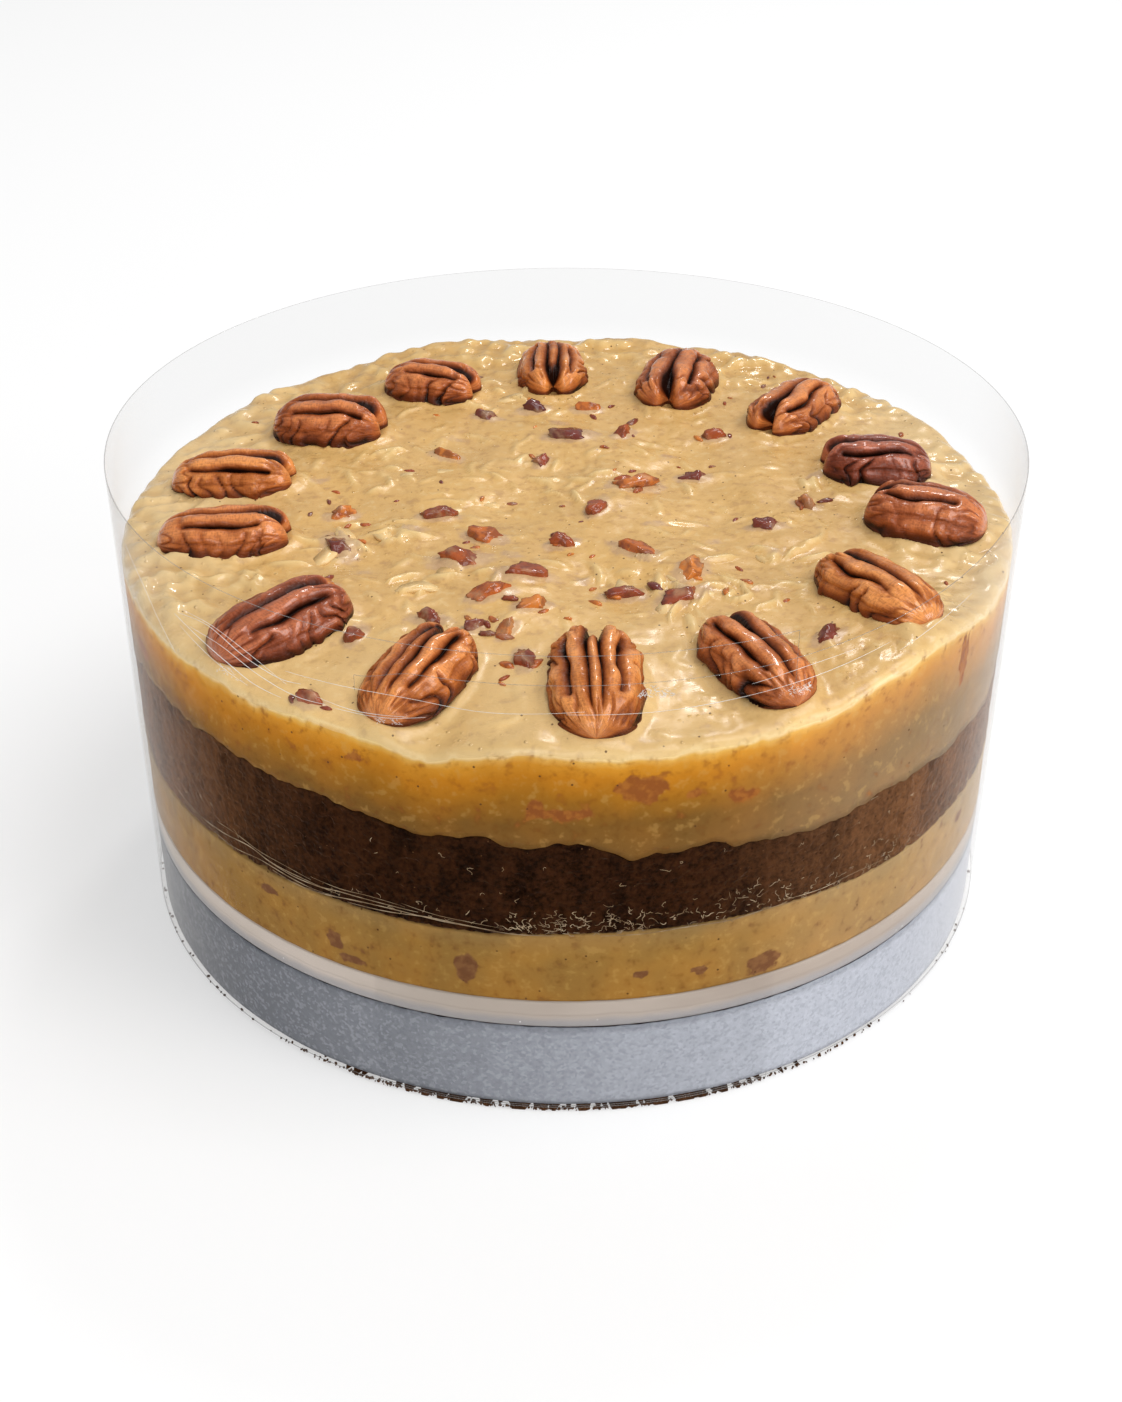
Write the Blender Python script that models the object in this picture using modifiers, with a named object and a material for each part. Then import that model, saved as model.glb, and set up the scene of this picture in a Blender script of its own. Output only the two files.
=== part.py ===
"""A german chocolate cake inside its clear film collar.

The cake is a stack of round layers: a chocolate sponge wrapped in a paper band, a thin cream layer,
a coconut filling, a second sponge and a thick coconut frosting, with pecan halves laid round the top.

Frame: +Z up, origin on the floor under the middle of the cake, front towards -Y. Metres throughout.
A bearing is in degrees round the cake, 0 at the front and growing towards +X.
"""

import math
import random

import bmesh
import bpy
from mathutils import Matrix, Vector, noise

# Driving dimensions
COLLAR_RADIUS = 0.102
COLLAR_FOOT = 0.0012
COLLAR_TOP = 0.112
FILM = 0.00025
PAPER = 0.0003
GAP = 0.0003

# The collar is one strip: its inner end starts left of the front, and its outer end laps over it.
INNER_END = -23.0
OUTER_END = 385.0
LAP_CLEAR = 30.0
LAP_SETTLED = 85.0
STRIP_SEGMENTS = 108
RIM_DROP = 0.0066
RIM_LEVEL_FROM = 90.0
RIM_LOW_UNTIL = 15.0
CORNER_DROP = 0.0026
CORNER_SPAN = 7.0

CAKE_RADIUS = COLLAR_RADIUS - 2 * FILM - 2 * GAP
BOTTOM_SPONGE_RADIUS = CAKE_RADIUS - PAPER - GAP

# Heights of the layers' upper faces above the floor
BAND_TOP = 0.0226
BOTTOM_SPONGE_TOP = 0.0224
CREAM_TOP = 0.0293
FILLING_TOP = 0.0465
SPONGE_CROWN = 0.0735
FROSTING_CROWN = 0.0930

# Corners round a layer, and the rings of its faces as shares of its radius
SIDES = 72
RIM_BAND = 0.86
PLAIN_RINGS = (0.0, 1.0)
RIM_RINGS = (0.0, RIM_BAND, 0.95, 1.0)
DRAPED_RINGS = (0.0, 0.52, 0.84, 0.91, 0.96, 1.0)
FROSTING_RINGS = (0.0, 0.14, 0.26, 0.37, 0.47, 0.56, 0.65, 0.73, 0.80, 0.87, 0.93, 0.965, 0.985, 1.0)

# Where the filling bulges up round its rim: cycles round the cake, phase in degrees, height
FILLING_WAVES = ((1, 205.0, 0.0008), (3, 40.0, 0.0005), (7, 10.0, 0.0003), (13, 75.0, 0.0002))

# The frosting hangs over the sponge's edge in sags: bearing, half width in degrees, depth
DRAPE_HIGHEST = 0.0725
DRAPE_SPAN = 0.016
SAGS = (
    (-62, 10, -0.0009), (-50, 7, -0.0010), (-32, 5, 0.0004), (-25, 5, 0.0011), (-18, 5, 0.0033),
    (-12, 4, 0.0023), (-5, 4, 0.0044), (1, 4, 0.0026), (7, 4, 0.0070), (13, 4, 0.0048),
    (20, 5, 0.0069), (28, 5, 0.0080), (35, 5, 0.0065), (43, 6, 0.0057), (52, 7, 0.0057),
    (64, 9, 0.0078), (85, 10, 0.0040), (108, 7, 0.0050), (130, 9, 0.0030), (152, 6, 0.0055),
    (172, 10, 0.0040), (195, 7, 0.0050), (217, 9, 0.0030), (240, 7, 0.0050), (262, 9, 0.0035),
    (284, 7, 0.0045),
)

# Height of the frosting where it meets the film, and its swells: bearing, half width, rise
FROSTING_EDGE = 0.0885
EDGE_FALL_FROM = 0.58
SWELLS = (
    (47, 15, 0.0055), (82, 14, 0.0030), (-3, 5, 0.0013), (-16, 4, -0.0024), (-30, 4, 0.0006),
    (118, 18, 0.0020), (160, 24, 0.0030), (200, 20, 0.0032), (236, 9, 0.0010), (285, 20, 0.0012),
)
EDGE_ROUND = 0.0035
EDGE_ROUND_DROP = 0.0018

# Slow lumps in the frosting, which lies level near a pecan
LUMP_SIZE = 0.021
LUMP_HEIGHT = 0.0018
LEVEL_NEAR = 0.019
LEVEL_FADE = 0.014

# Pecan halves: bearing, reach from the middle, length, width, turn away from the radial direction
PECANS = (
    (-75, 0.0783, 0.0298, 0.0175, -14),
    (-97, 0.0785, 0.0293, 0.0178, 4),
    (-123, 0.0695, 0.0281, 0.0205, 23),
    (-151, 0.0712, 0.0250, 0.0175, 42),
    (-177, 0.0715, 0.0268, 0.0172, -1),
    (156, 0.0700, 0.0300, 0.0193, 10),
    (130, 0.0745, 0.0315, 0.0175, 16),
    (102, 0.0748, 0.0262, 0.0190, -14),
    (80.5, 0.0815, 0.0272, 0.0200, -13),
    (53, 0.0812, 0.0330, 0.0175, -22),
    (27, 0.0828, 0.0305, 0.0172, 0),
    (4, 0.0815, 0.0330, 0.0187, -4),
    (-20.5, 0.0828, 0.0305, 0.0178, -6),
    (-45, 0.0828, 0.0318, 0.0198, -3),
)
PECAN_HEIGHT = 0.43
PECAN_ROUND = 16
PECAN_ALONG = 8
PECAN_BASE = 0.10
PECAN_GAP = 0.0004

# A pecan's section, as shares of its plain oval, with places in radians from its top line
GROOVE_DEPTH = 0.42
GROOVE_FADE = 0.20
GROOVE_WIDTH = 0.22
RIDGE_AT = 0.42
RIDGE_RISE = 0.06
FURROW_AT = 0.80
FURROW_DEPTH = 0.15
LOBE_WIDTH = 0.20
BLUNT_ENDS = 0.12

# Larger chopped nuts half sunk in the top: x, y, length, turn in degrees
CHOPPED = (
    (-0.051, -0.008, 0.0060, 20), (-0.050, -0.023, 0.0085, -60), (-0.029, -0.009, 0.0070, 10),
    (-0.018, -0.019, 0.0075, -20), (-0.023, -0.030, 0.0100, 0), (-0.009, -0.038, 0.0085, 0),
    (-0.016, -0.046, 0.0080, 15), (-0.007, -0.051, 0.0060, 20), (-0.052, -0.042, 0.0060, -15),
    (-0.043, -0.061, 0.0055, 70), (-0.028, -0.056, 0.0060, -10), (-0.019, -0.059, 0.0045, 30),
    (-0.012, -0.060, 0.0050, 60), (-0.0085, -0.071, 0.0062, -80), (-0.050, -0.084, 0.0050, -30),
    (0.001, 0.033, 0.0095, 5), (-0.008, 0.051, 0.0065, 15), (0.005, 0.051, 0.0060, 0),
    (0.014, 0.036, 0.0055, 50), (0.030, 0.013, 0.0060, 0), (0.016, 0.007, 0.0090, 15),
    (0.007, -0.005, 0.0065, 70), (-0.001, -0.022, 0.0060, 20), (0.015, -0.026, 0.0085, -40),
    (0.027, -0.035, 0.0085, 60), (0.024, -0.046, 0.0085, 30), (0.012, -0.044, 0.0070, 0),
    (0.045, -0.014, 0.0060, 0), (0.055, -0.003, 0.0050, -30), (-0.029, 0.024, 0.0065, -30),
    (0.053, -0.064, 0.0055, 30), (-0.006, 0.020, 0.0050, 80), (0.036, 0.034, 0.0050, 10),
    (-0.020, 0.046, 0.0055, -20),
)
CHOPPED_WIDTH = 0.52
CHOPPED_HEIGHT = 0.0034
CHOPPED_SUNK = 0.0006
CHOPPED_UNEVEN = (0.82, 1.12)
CHOPPED_SEED = 100

# Coconut shreds, spread over the top like the seeds of a sunflower, with seeded strays,
# and left out near a pecan
SHRED_PLACES = 130
SHRED_REACH = 0.097
SUNFLOWER_TURN = 137.508
SHRED_STRAY = 0.004
SHRED_LENGTH = (0.006, 0.011)
SHRED_WIDTH = 0.0020
SHRED_HEIGHT = 0.0018
SHRED_RIDGE = 0.45
SHRED_TAPER = 0.80
SHRED_CLEAR = 0.0215
SHRED_SEED = 7

# Each material's colour, in linear light, and its roughness
FILM_ALPHA = 0.25
COLOURS = {
    "sponge": ((0.060, 0.030, 0.018), 0.85),
    "frosting": ((0.640, 0.420, 0.160), 0.35),
    "filling": ((0.500, 0.310, 0.085), 0.45),
    "cream": ((0.600, 0.510, 0.430), 0.50),
    "paper": ((0.330, 0.370, 0.420), 0.55),
    "pecan": ((0.330, 0.120, 0.050), 0.40),
    "film": ((0.900, 0.930, 0.950), 0.08),
}


def clear_scene():
    for item in list(bpy.data.objects):
        bpy.data.objects.remove(item)


def material(name):
    """A plain material with the named colour and roughness."""
    known = bpy.data.materials.get(name)
    if known:
        return known
    colour, roughness = COLOURS[name]
    made = bpy.data.materials.new(name)
    made.use_nodes = True
    shader = made.node_tree.nodes["Principled BSDF"]
    shader.inputs["Base Color"].default_value = (*colour, 1.0)
    shader.inputs["Roughness"].default_value = roughness
    shader.inputs["Metallic"].default_value = 0.0
    if name == "film":
        shader.inputs["Alpha"].default_value = FILM_ALPHA
    return made


def keep(bm, name, collection, surface, sharp=40.0):
    """Turns a bmesh into a named object in the collection, shaded smooth between its sharp edges."""
    bmesh.ops.recalc_face_normals(bm, faces=bm.faces)
    mesh = bpy.data.meshes.new(name)
    bm.to_mesh(mesh)
    bm.free()
    mesh.shade_smooth()
    mesh.set_sharp_from_angle(angle=math.radians(sharp))
    mesh.materials.append(material(surface))
    item = bpy.data.objects.new(name, mesh)
    collection.objects.link(item)
    return item


def polar(bearing, reach, height=0.0):
    angle = math.radians(bearing)
    return Vector((reach * math.sin(angle), -reach * math.cos(angle), height))


def bearing_of(x, y):
    return math.degrees(math.atan2(x, -y))


def smooth(value, low, high):
    """Goes from 0 at low to 1 at high along an S curve."""
    part = min(max((value - low) / (high - low), 0.0), 1.0)
    return part * part * (3.0 - 2.0 * part)


def hill(bearing, centre, half_width):
    """1 at the centre bearing, fading smoothly to 0 on both sides."""
    away = (bearing - centre + 180.0) % 360.0 - 180.0
    return math.exp(-((away / half_width) ** 2))


def level(height):
    return lambda x, y: height


def filling_top(x, y):
    """The filling's upper face: level in the middle, wavy at the rim."""
    bearing = bearing_of(x, y)
    waves = 0.0
    for count, phase, rise in FILLING_WAVES:
        waves += rise * math.sin(math.radians(count * bearing + phase))
    return FILLING_TOP + waves * smooth(math.hypot(x, y), RIM_BAND * CAKE_RADIUS, CAKE_RADIUS)


def sponge_top(x, y):
    """The upper sponge's upper face: it rounds off at the rim under the frosting's sags."""
    bearing = bearing_of(x, y)
    rim = DRAPE_HIGHEST - sum(depth * hill(bearing, centre, width) for centre, width, depth in SAGS)
    fall = smooth(math.hypot(x, y), CAKE_RADIUS - DRAPE_SPAN, CAKE_RADIUS)
    return SPONGE_CROWN + (rim - SPONGE_CROWN) * fall


def nearest_pecan(x, y):
    """Distance from a point to the middle of the nearest pecan."""
    spots = (polar(bearing, reach) for bearing, reach, *_ in PECANS)
    return min(math.hypot(x - spot.x, y - spot.y) for spot in spots)


def frosting_top(x, y):
    """The frosting's upper face: nearly flat and lumpy, falling to its rounded edge at the film."""
    reach = math.hypot(x, y)
    bearing = bearing_of(x, y)
    edge = FROSTING_EDGE + sum(rise * hill(bearing, centre, width) for centre, width, rise in SWELLS)
    fall = smooth(reach, EDGE_FALL_FROM * CAKE_RADIUS, CAKE_RADIUS)
    height = FROSTING_CROWN + (edge + EDGE_ROUND_DROP - FROSTING_CROWN) * fall
    rounding = min(max(reach - (CAKE_RADIUS - EDGE_ROUND), 0.0) / EDGE_ROUND, 1.0)
    height -= EDGE_ROUND_DROP * (1.0 - math.sqrt(1.0 - rounding * rounding))
    lump = LUMP_HEIGHT * noise.noise(Vector((x, y, 0.0)) / LUMP_SIZE)
    calm = smooth(nearest_pecan(x, y), LEVEL_NEAR, LEVEL_NEAR + LEVEL_FADE)
    return height + lump * calm


def above(surface, gap):
    """The same height function, raised by a gap."""
    return lambda x, y: surface(x, y) + gap


def spin_round(bm, section):
    """Turns a section right round the cake's axis."""
    bmesh.ops.spin(
        bm, geom=section, cent=(0, 0, 0), axis=(0, 0, 1),
        angle=2 * math.pi, steps=SIDES, use_merge=True,
    )


def layer(name, collection, surface, radius, floor, roof, floor_rings, roof_rings):
    """A round layer: half its section is spun round the axis, then its lower and upper faces are
    raised to the heights that the two functions give. Quads are split along their shorter diagonal,
    which is the same one on two layers that follow one another, so the gap between them stays even."""
    bm = bmesh.new()
    section = [Vector((share * radius, 0, 0)) for share in floor_rings]
    section += [Vector((share * radius, 0, 1)) for share in reversed(roof_rings)]
    verts = [bm.verts.new(point) for point in section]
    edges = [bm.edges.new(pair) for pair in zip(verts, verts[1:])]
    spin_round(bm, verts + edges)
    bmesh.ops.remove_doubles(bm, verts=bm.verts, dist=1e-6)
    for vert in bm.verts:
        bounds = floor, roof
        vert.co.z = bounds[vert.co.z > 0.5](vert.co.x, vert.co.y)
    bmesh.ops.triangulate(bm, faces=bm.faces, quad_method="SHORT_EDGE", ngon_method="BEAUTY")
    return keep(bm, name, collection, surface)


def paper_band(collection):
    """The paper round the bottom sponge: a closed ring, spun from its rectangular section."""
    bm = bmesh.new()
    inner = CAKE_RADIUS - PAPER
    corners = ((inner, COLLAR_FOOT), (CAKE_RADIUS, COLLAR_FOOT), (CAKE_RADIUS, BAND_TOP), (inner, BAND_TOP))
    verts = [bm.verts.new((reach, 0, height)) for reach, height in corners]
    edges = [bm.edges.new((vert, verts[place - 1])) for place, vert in enumerate(verts)]
    spin_round(bm, verts + edges)
    return keep(bm, "paper_band", collection, "paper")


def collar_radius(bearing):
    """Outer face of the film: one film and one gap further in where the inner end is lapped over."""
    return COLLAR_RADIUS - (FILM + GAP) * (1.0 - smooth(bearing, LAP_CLEAR, LAP_SETTLED))


def collar_rim(bearing):
    """Upper edge of the film: level, but sloping down towards the inner end and its corner."""
    drop = RIM_DROP * (1.0 - smooth(bearing, RIM_LOW_UNTIL, RIM_LEVEL_FROM))
    corner = CORNER_DROP * (1.0 - smooth(bearing, INNER_END, INNER_END + CORNER_SPAN))
    return COLLAR_TOP - drop - corner


def collar(collection):
    """The clear strip, bent round the cake with its ends lapped, given its thickness inwards."""
    bm = bmesh.new()
    bmesh.ops.create_grid(bm, x_segments=STRIP_SEGMENTS, y_segments=1, size=0.5)
    for vert in bm.verts:
        bearing = INNER_END + (vert.co.x + 0.5) * (OUTER_END - INNER_END)
        height = COLLAR_FOOT + (vert.co.y + 0.5) * (collar_rim(bearing) - COLLAR_FOOT)
        vert.co = polar(bearing, collar_radius(bearing), height)
    strip = keep(bm, "collar", collection, "film", sharp=60.0)
    face = strip.data.polygons[0]
    inwards = face.normal.dot(Vector((face.center.x, face.center.y, 0.0))) < 0
    if inwards:
        strip.data.flip_normals()
    wall = strip.modifiers.new("film thickness", "SOLIDIFY")
    wall.thickness = FILM
    wall.offset = -1.0
    return strip


def pecan_section(along, turn):
    """How far out the nut's surface lies, as a share of its plain oval, at a place along it (-1 at
    the end nearer the middle of the cake, 1 at the outer end) and an angle from its top line."""
    groove = (GROOVE_DEPTH - GROOVE_FADE * along) * math.exp(-((turn / GROOVE_WIDTH) ** 2))
    ridge = RIDGE_RISE * math.exp(-(((abs(turn) - RIDGE_AT) / LOBE_WIDTH) ** 2))
    furrow = FURROW_DEPTH * math.exp(-(((abs(turn) - FURROW_AT) / LOBE_WIDTH) ** 2))
    return 1.0 - groove + ridge - furrow * (1.0 - along * along)


def pecan(number, collection):
    """One pecan half lying flat side down: an oval body with a middle groove and a furrow in each lobe."""
    bearing, reach, length, width, askew = PECANS[number - 1]
    bm = bmesh.new()
    bmesh.ops.create_uvsphere(bm, u_segments=PECAN_ROUND, v_segments=PECAN_ALONG, radius=1.0)
    bmesh.ops.rotate(bm, verts=bm.verts, matrix=Matrix.Rotation(math.radians(90), 3, "Y"))
    for vert in bm.verts:
        along = vert.co.x
        share = pecan_section(along, math.atan2(vert.co.y, vert.co.z))
        side = vert.co.y * share * (1.0 + BLUNT_ENDS * along * along)
        up = vert.co.z * share
        if up < 0:
            up *= PECAN_BASE
        vert.co = Vector((along * length / 2, side * width / 2, up * PECAN_HEIGHT * width))
    angle = math.radians(bearing + askew - 90)
    turn = Matrix.Rotation(angle, 3, "Z")
    middle = polar(bearing, reach)
    ends = [middle + turn @ Vector((way * length / 2, 0, 0)) for way in (-1, 1)]
    inner, outer = (frosting_top(end.x, end.y) for end in ends)
    tilt = Matrix.Rotation(-math.atan2(outer - inner, length), 3, "Y")
    bmesh.ops.rotate(bm, verts=bm.verts, matrix=turn @ tilt)
    bmesh.ops.translate(bm, verts=bm.verts, vec=middle)
    lift = max(frosting_top(vert.co.x, vert.co.y) - vert.co.z for vert in bm.verts)
    bmesh.ops.translate(bm, verts=bm.verts, vec=(0, 0, lift + PECAN_GAP))
    return keep(bm, f"pecan_{number:02d}", collection, "pecan", sharp=75.0)


def chopped_nut(place, collection):
    """A chopped nut: a small squashed lump, a third of it above the frosting."""
    x, y, length, turn = CHOPPED[place]
    draw = random.Random(CHOPPED_SEED + place)
    bm = bmesh.new()
    bmesh.ops.create_icosphere(bm, subdivisions=1, radius=1.0)
    for vert in bm.verts:
        vert.co *= draw.uniform(*CHOPPED_UNEVEN)
    bmesh.ops.scale(bm, verts=bm.verts, vec=(length / 2, CHOPPED_WIDTH * length / 2, CHOPPED_HEIGHT / 2))
    bmesh.ops.rotate(bm, verts=bm.verts, matrix=Matrix.Rotation(math.radians(turn), 3, "Z"))
    height = frosting_top(x, y) - CHOPPED_SUNK
    bmesh.ops.translate(bm, verts=bm.verts, vec=(x, y, height))
    return keep(bm, f"chopped_{place:02d}", collection, "frosting")


def shred_places():
    """Where the coconut shreds lie: x, y, length, turn."""
    draw = random.Random(SHRED_SEED)
    places = []
    for seed in range(SHRED_PLACES):
        spot = polar(SUNFLOWER_TURN * seed, SHRED_REACH * math.sqrt((seed + 0.5) / SHRED_PLACES))
        x = spot.x + draw.uniform(-SHRED_STRAY, SHRED_STRAY)
        y = spot.y + draw.uniform(-SHRED_STRAY, SHRED_STRAY)
        length = draw.uniform(*SHRED_LENGTH)
        turn = draw.uniform(0, 180)
        on_top = math.hypot(x, y) + length / 2 < CAKE_RADIUS - EDGE_ROUND
        if on_top and nearest_pecan(x, y) > SHRED_CLEAR:
            places.append((x, y, length, turn))
    return places


def shred(place, spot, collection):
    """A coconut shred: a flat strip, narrower along its top, with its upper half above the frosting."""
    x, y, length, turn = spot
    bm = bmesh.new()
    bmesh.ops.create_cube(bm, size=1.0)
    bmesh.ops.scale(bm, verts=bm.verts, vec=(length, SHRED_WIDTH, SHRED_HEIGHT))
    upper = [vert for vert in bm.verts if vert.co.z > 0]
    bmesh.ops.scale(bm, verts=upper, vec=(SHRED_TAPER, SHRED_RIDGE, 1.0))
    bmesh.ops.rotate(bm, verts=bm.verts, matrix=Matrix.Rotation(math.radians(turn), 3, "Z"))
    bmesh.ops.translate(bm, verts=bm.verts, vec=(x, y, frosting_top(x, y)))
    return keep(bm, f"shred_{place:02d}", collection, "frosting")


def fuse(base, pieces):
    """Joins every object of a collection to the base with one union, then removes the collection."""
    union = base.modifiers.new("toppings", "BOOLEAN")
    union.operation = "UNION"
    union.operand_type = "COLLECTION"
    union.collection = pieces
    union.solver = "EXACT"
    graph = bpy.context.evaluated_depsgraph_get()
    joined = bpy.data.meshes.new_from_object(base.evaluated_get(graph))
    base.modifiers.clear()
    base.data = joined
    for item in list(pieces.objects):
        bpy.data.objects.remove(item)
    bpy.data.collections.remove(pieces)


def frosting(collection):
    """The frosting with its chopped nuts and coconut shreds fused on."""
    body = layer(
        "frosting", collection, "frosting", CAKE_RADIUS,
        above(sponge_top, GAP), frosting_top, DRAPED_RINGS, FROSTING_RINGS,
    )
    pieces = bpy.data.collections.new("toppings")
    bpy.context.scene.collection.children.link(pieces)
    for place in range(len(CHOPPED)):
        chopped_nut(place, pieces)
    for place, spot in enumerate(shred_places()):
        shred(place, spot, pieces)
    fuse(body, pieces)
    return body


def main():
    clear_scene()
    cake = bpy.data.collections.new("german_chocolate_cake")
    bpy.context.scene.collection.children.link(cake)
    layer(
        "bottom_sponge", cake, "sponge", BOTTOM_SPONGE_RADIUS,
        level(0.0), level(BOTTOM_SPONGE_TOP), PLAIN_RINGS, PLAIN_RINGS,
    )
    paper_band(cake)
    layer(
        "cream_layer", cake, "cream", CAKE_RADIUS,
        level(BAND_TOP + GAP), level(CREAM_TOP), PLAIN_RINGS, PLAIN_RINGS,
    )
    layer(
        "filling", cake, "filling", CAKE_RADIUS,
        level(CREAM_TOP + GAP), filling_top, PLAIN_RINGS, RIM_RINGS,
    )
    layer(
        "middle_sponge", cake, "sponge", CAKE_RADIUS,
        above(filling_top, GAP), sponge_top, RIM_RINGS, DRAPED_RINGS,
    )
    frosting(cake)
    for number in range(1, len(PECANS) + 1):
        pecan(number, cake)
    collar(cake)


main()
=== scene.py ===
"""The looks of a german chocolate cake in its clear film collar.

Metres, +Z up, the origin on the floor under the middle of the cake, the front towards -Y.
A bearing is in degrees round the cake, 0 at the front and growing towards +X.
"""

import random
from math import atan2, cos, degrees, exp, hypot, pi, radians, sin, sqrt

import bmesh
import bpy
from mathutils import Matrix, Vector, noise


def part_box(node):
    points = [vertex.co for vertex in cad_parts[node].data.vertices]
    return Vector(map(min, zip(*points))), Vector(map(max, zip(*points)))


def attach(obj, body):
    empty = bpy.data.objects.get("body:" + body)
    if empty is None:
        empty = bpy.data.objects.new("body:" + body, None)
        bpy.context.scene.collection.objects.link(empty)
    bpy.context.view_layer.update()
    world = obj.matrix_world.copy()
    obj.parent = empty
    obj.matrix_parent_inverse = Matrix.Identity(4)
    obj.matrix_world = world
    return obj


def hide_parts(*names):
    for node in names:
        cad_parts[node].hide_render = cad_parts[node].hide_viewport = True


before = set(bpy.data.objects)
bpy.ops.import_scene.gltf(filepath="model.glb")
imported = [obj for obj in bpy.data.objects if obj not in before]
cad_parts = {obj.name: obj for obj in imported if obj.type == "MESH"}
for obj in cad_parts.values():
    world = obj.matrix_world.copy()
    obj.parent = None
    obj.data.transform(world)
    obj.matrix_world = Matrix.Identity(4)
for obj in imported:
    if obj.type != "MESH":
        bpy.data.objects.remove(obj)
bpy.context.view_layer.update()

# Sizes read from the frame
CAKE_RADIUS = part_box("frosting")[1].x
COLLAR_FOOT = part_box("collar")[0].z
COLLAR_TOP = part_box("collar")[1].z
COLLAR_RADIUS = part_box("collar")[1].x
CREAM_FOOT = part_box("cream_layer")[0].z
CREAM_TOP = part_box("cream_layer")[1].z
FILLING_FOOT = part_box("filling")[0].z
BAND_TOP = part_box("paper_band")[1].z
BOTTOM_SPONGE_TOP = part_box("bottom_sponge")[1].z
BOTTOM_SPONGE_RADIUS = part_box("bottom_sponge")[1].x

# The collar's film, as the frame's strip is bent
FILM = 0.00025
GAP = 0.0003
INNER_END = -23.0
OUTER_END = 385.0
LAP_CLEAR = 30.0
LAP_SETTLED = 85.0
RIM_DROP = 0.0066
RIM_LEVEL_FROM = 90.0
RIM_LOW_UNTIL = 15.0
CORNER_DROP = 0.0026
CORNER_SPAN = 7.0
RIM_LOWEST = COLLAR_TOP - RIM_DROP - CORNER_DROP

# Where the filling bulges up round its rim: cycles round the cake, phase in degrees, height
FILLING_TOP = 0.0465
FILLING_WAVES = ((1, 205.0, 0.0008), (3, 40.0, 0.0005), (7, 10.0, 0.0003), (13, 75.0, 0.0002))
RIM_BAND = 0.86

# Where the rings of a layer's hidden faces lie, as shares of the cake's radius
HIDDEN_RINGS = (0.96, 0.9, 0.84)

# The height of the fine seam that runs round the cream
CREAM_SEAM = 0.0253

# How far the bottom sponge's foot is pressed out under the collar
FOOT_BULGE = COLLAR_RADIUS - BOTTOM_SPONGE_RADIUS - 0.0003
FOOT_SET_BACK = 0.0012

# The frosting's sags over the sponge's edge: bearing, half width in degrees, depth
SPONGE_CROWN = 0.0735
DRAPE_HIGHEST = 0.0725
DRAPE_SPAN = 0.016
SAGS = (
    (-62, 10, -0.0009), (-50, 7, -0.001), (-32, 5, 0.0004), (-25, 5, 0.0011), (-18, 5, 0.0033),
    (-12, 4, 0.0023), (-5, 4, 0.0044), (1, 4, 0.0026), (7, 4, 0.007), (13, 4, 0.0048),
    (20, 5, 0.0069), (28, 5, 0.008), (35, 5, 0.0065), (43, 6, 0.0057), (52, 7, 0.0057),
    (64, 9, 0.0078), (85, 10, 0.004), (108, 7, 0.005), (130, 9, 0.003), (152, 6, 0.0055),
    (172, 10, 0.004), (195, 7, 0.005), (217, 9, 0.003), (240, 7, 0.005), (262, 9, 0.0035),
    (284, 7, 0.0045),
)

# The frosting's edge at the film and its swells: bearing, half width, rise
FROSTING_CROWN = 0.093
FROSTING_EDGE = 0.0885
EDGE_FALL_FROM = 0.58
SWELLS = (
    (47, 15, 0.0055), (82, 14, 0.003), (-3, 5, 0.0013), (-16, 4, -0.0024), (-30, 4, 0.0006),
    (118, 18, 0.002), (160, 24, 0.003), (200, 20, 0.0032), (236, 9, 0.001), (285, 20, 0.0012),
)
EDGE_ROUND = 0.0035
EDGE_ROUND_DROP = 0.0018
LUMP_SIZE = 0.021
LUMP_HEIGHT = 0.0018
LEVEL_NEAR = 0.019
LEVEL_FADE = 0.014

# Pecan halves: bearing, reach, length, width, turn from the radial direction, tone from pale to dark
PECANS = (
    (-75, 0.0783, 0.0298, 0.0175, -14, 0.36),
    (-97, 0.0785, 0.0293, 0.0178, 4, 0.14),
    (-123, 0.0695, 0.0281, 0.0205, 23, 0.45),
    (-151, 0.0712, 0.025, 0.0175, 42, 0.42),
    (-177, 0.0715, 0.0268, 0.0172, -1, 0.12),
    (156, 0.07, 0.03, 0.0193, 10, 0.42),
    (130, 0.0745, 0.0315, 0.0175, 16, 0.32),
    (102, 0.0748, 0.0262, 0.019, -14, 0.86),
    (80.5, 0.0815, 0.0272, 0.02, -13, 0.54),
    (53, 0.0812, 0.033, 0.0175, -22, 0.1),
    (27, 0.0828, 0.0305, 0.0172, 0, 0.36),
    (4, 0.0815, 0.033, 0.0187, -4, 0.1),
    (-20.5, 0.0828, 0.0305, 0.0178, -6, 0.2),
    (-45, 0.0828, 0.0318, 0.0198, -3, 0.74),
)
PECAN_CROWN = 0.37
PECAN_STRETCH = 1.7
FURROW_START = -0.64
# The halves that keep a spine between two slits, and how far off their top line the slits lie
SPINES = {5: 0.19, 12: 0.15, 13: 0.17}
# How far each half's folds are turned about its length, in radians
LEANS = (-0.16, -0.12, -0.12, -0.14, 0.0, 0.12, 0.14, 0.16, 0.34, 0.1, 0.16, 0.0, -0.18, -0.1)

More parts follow.
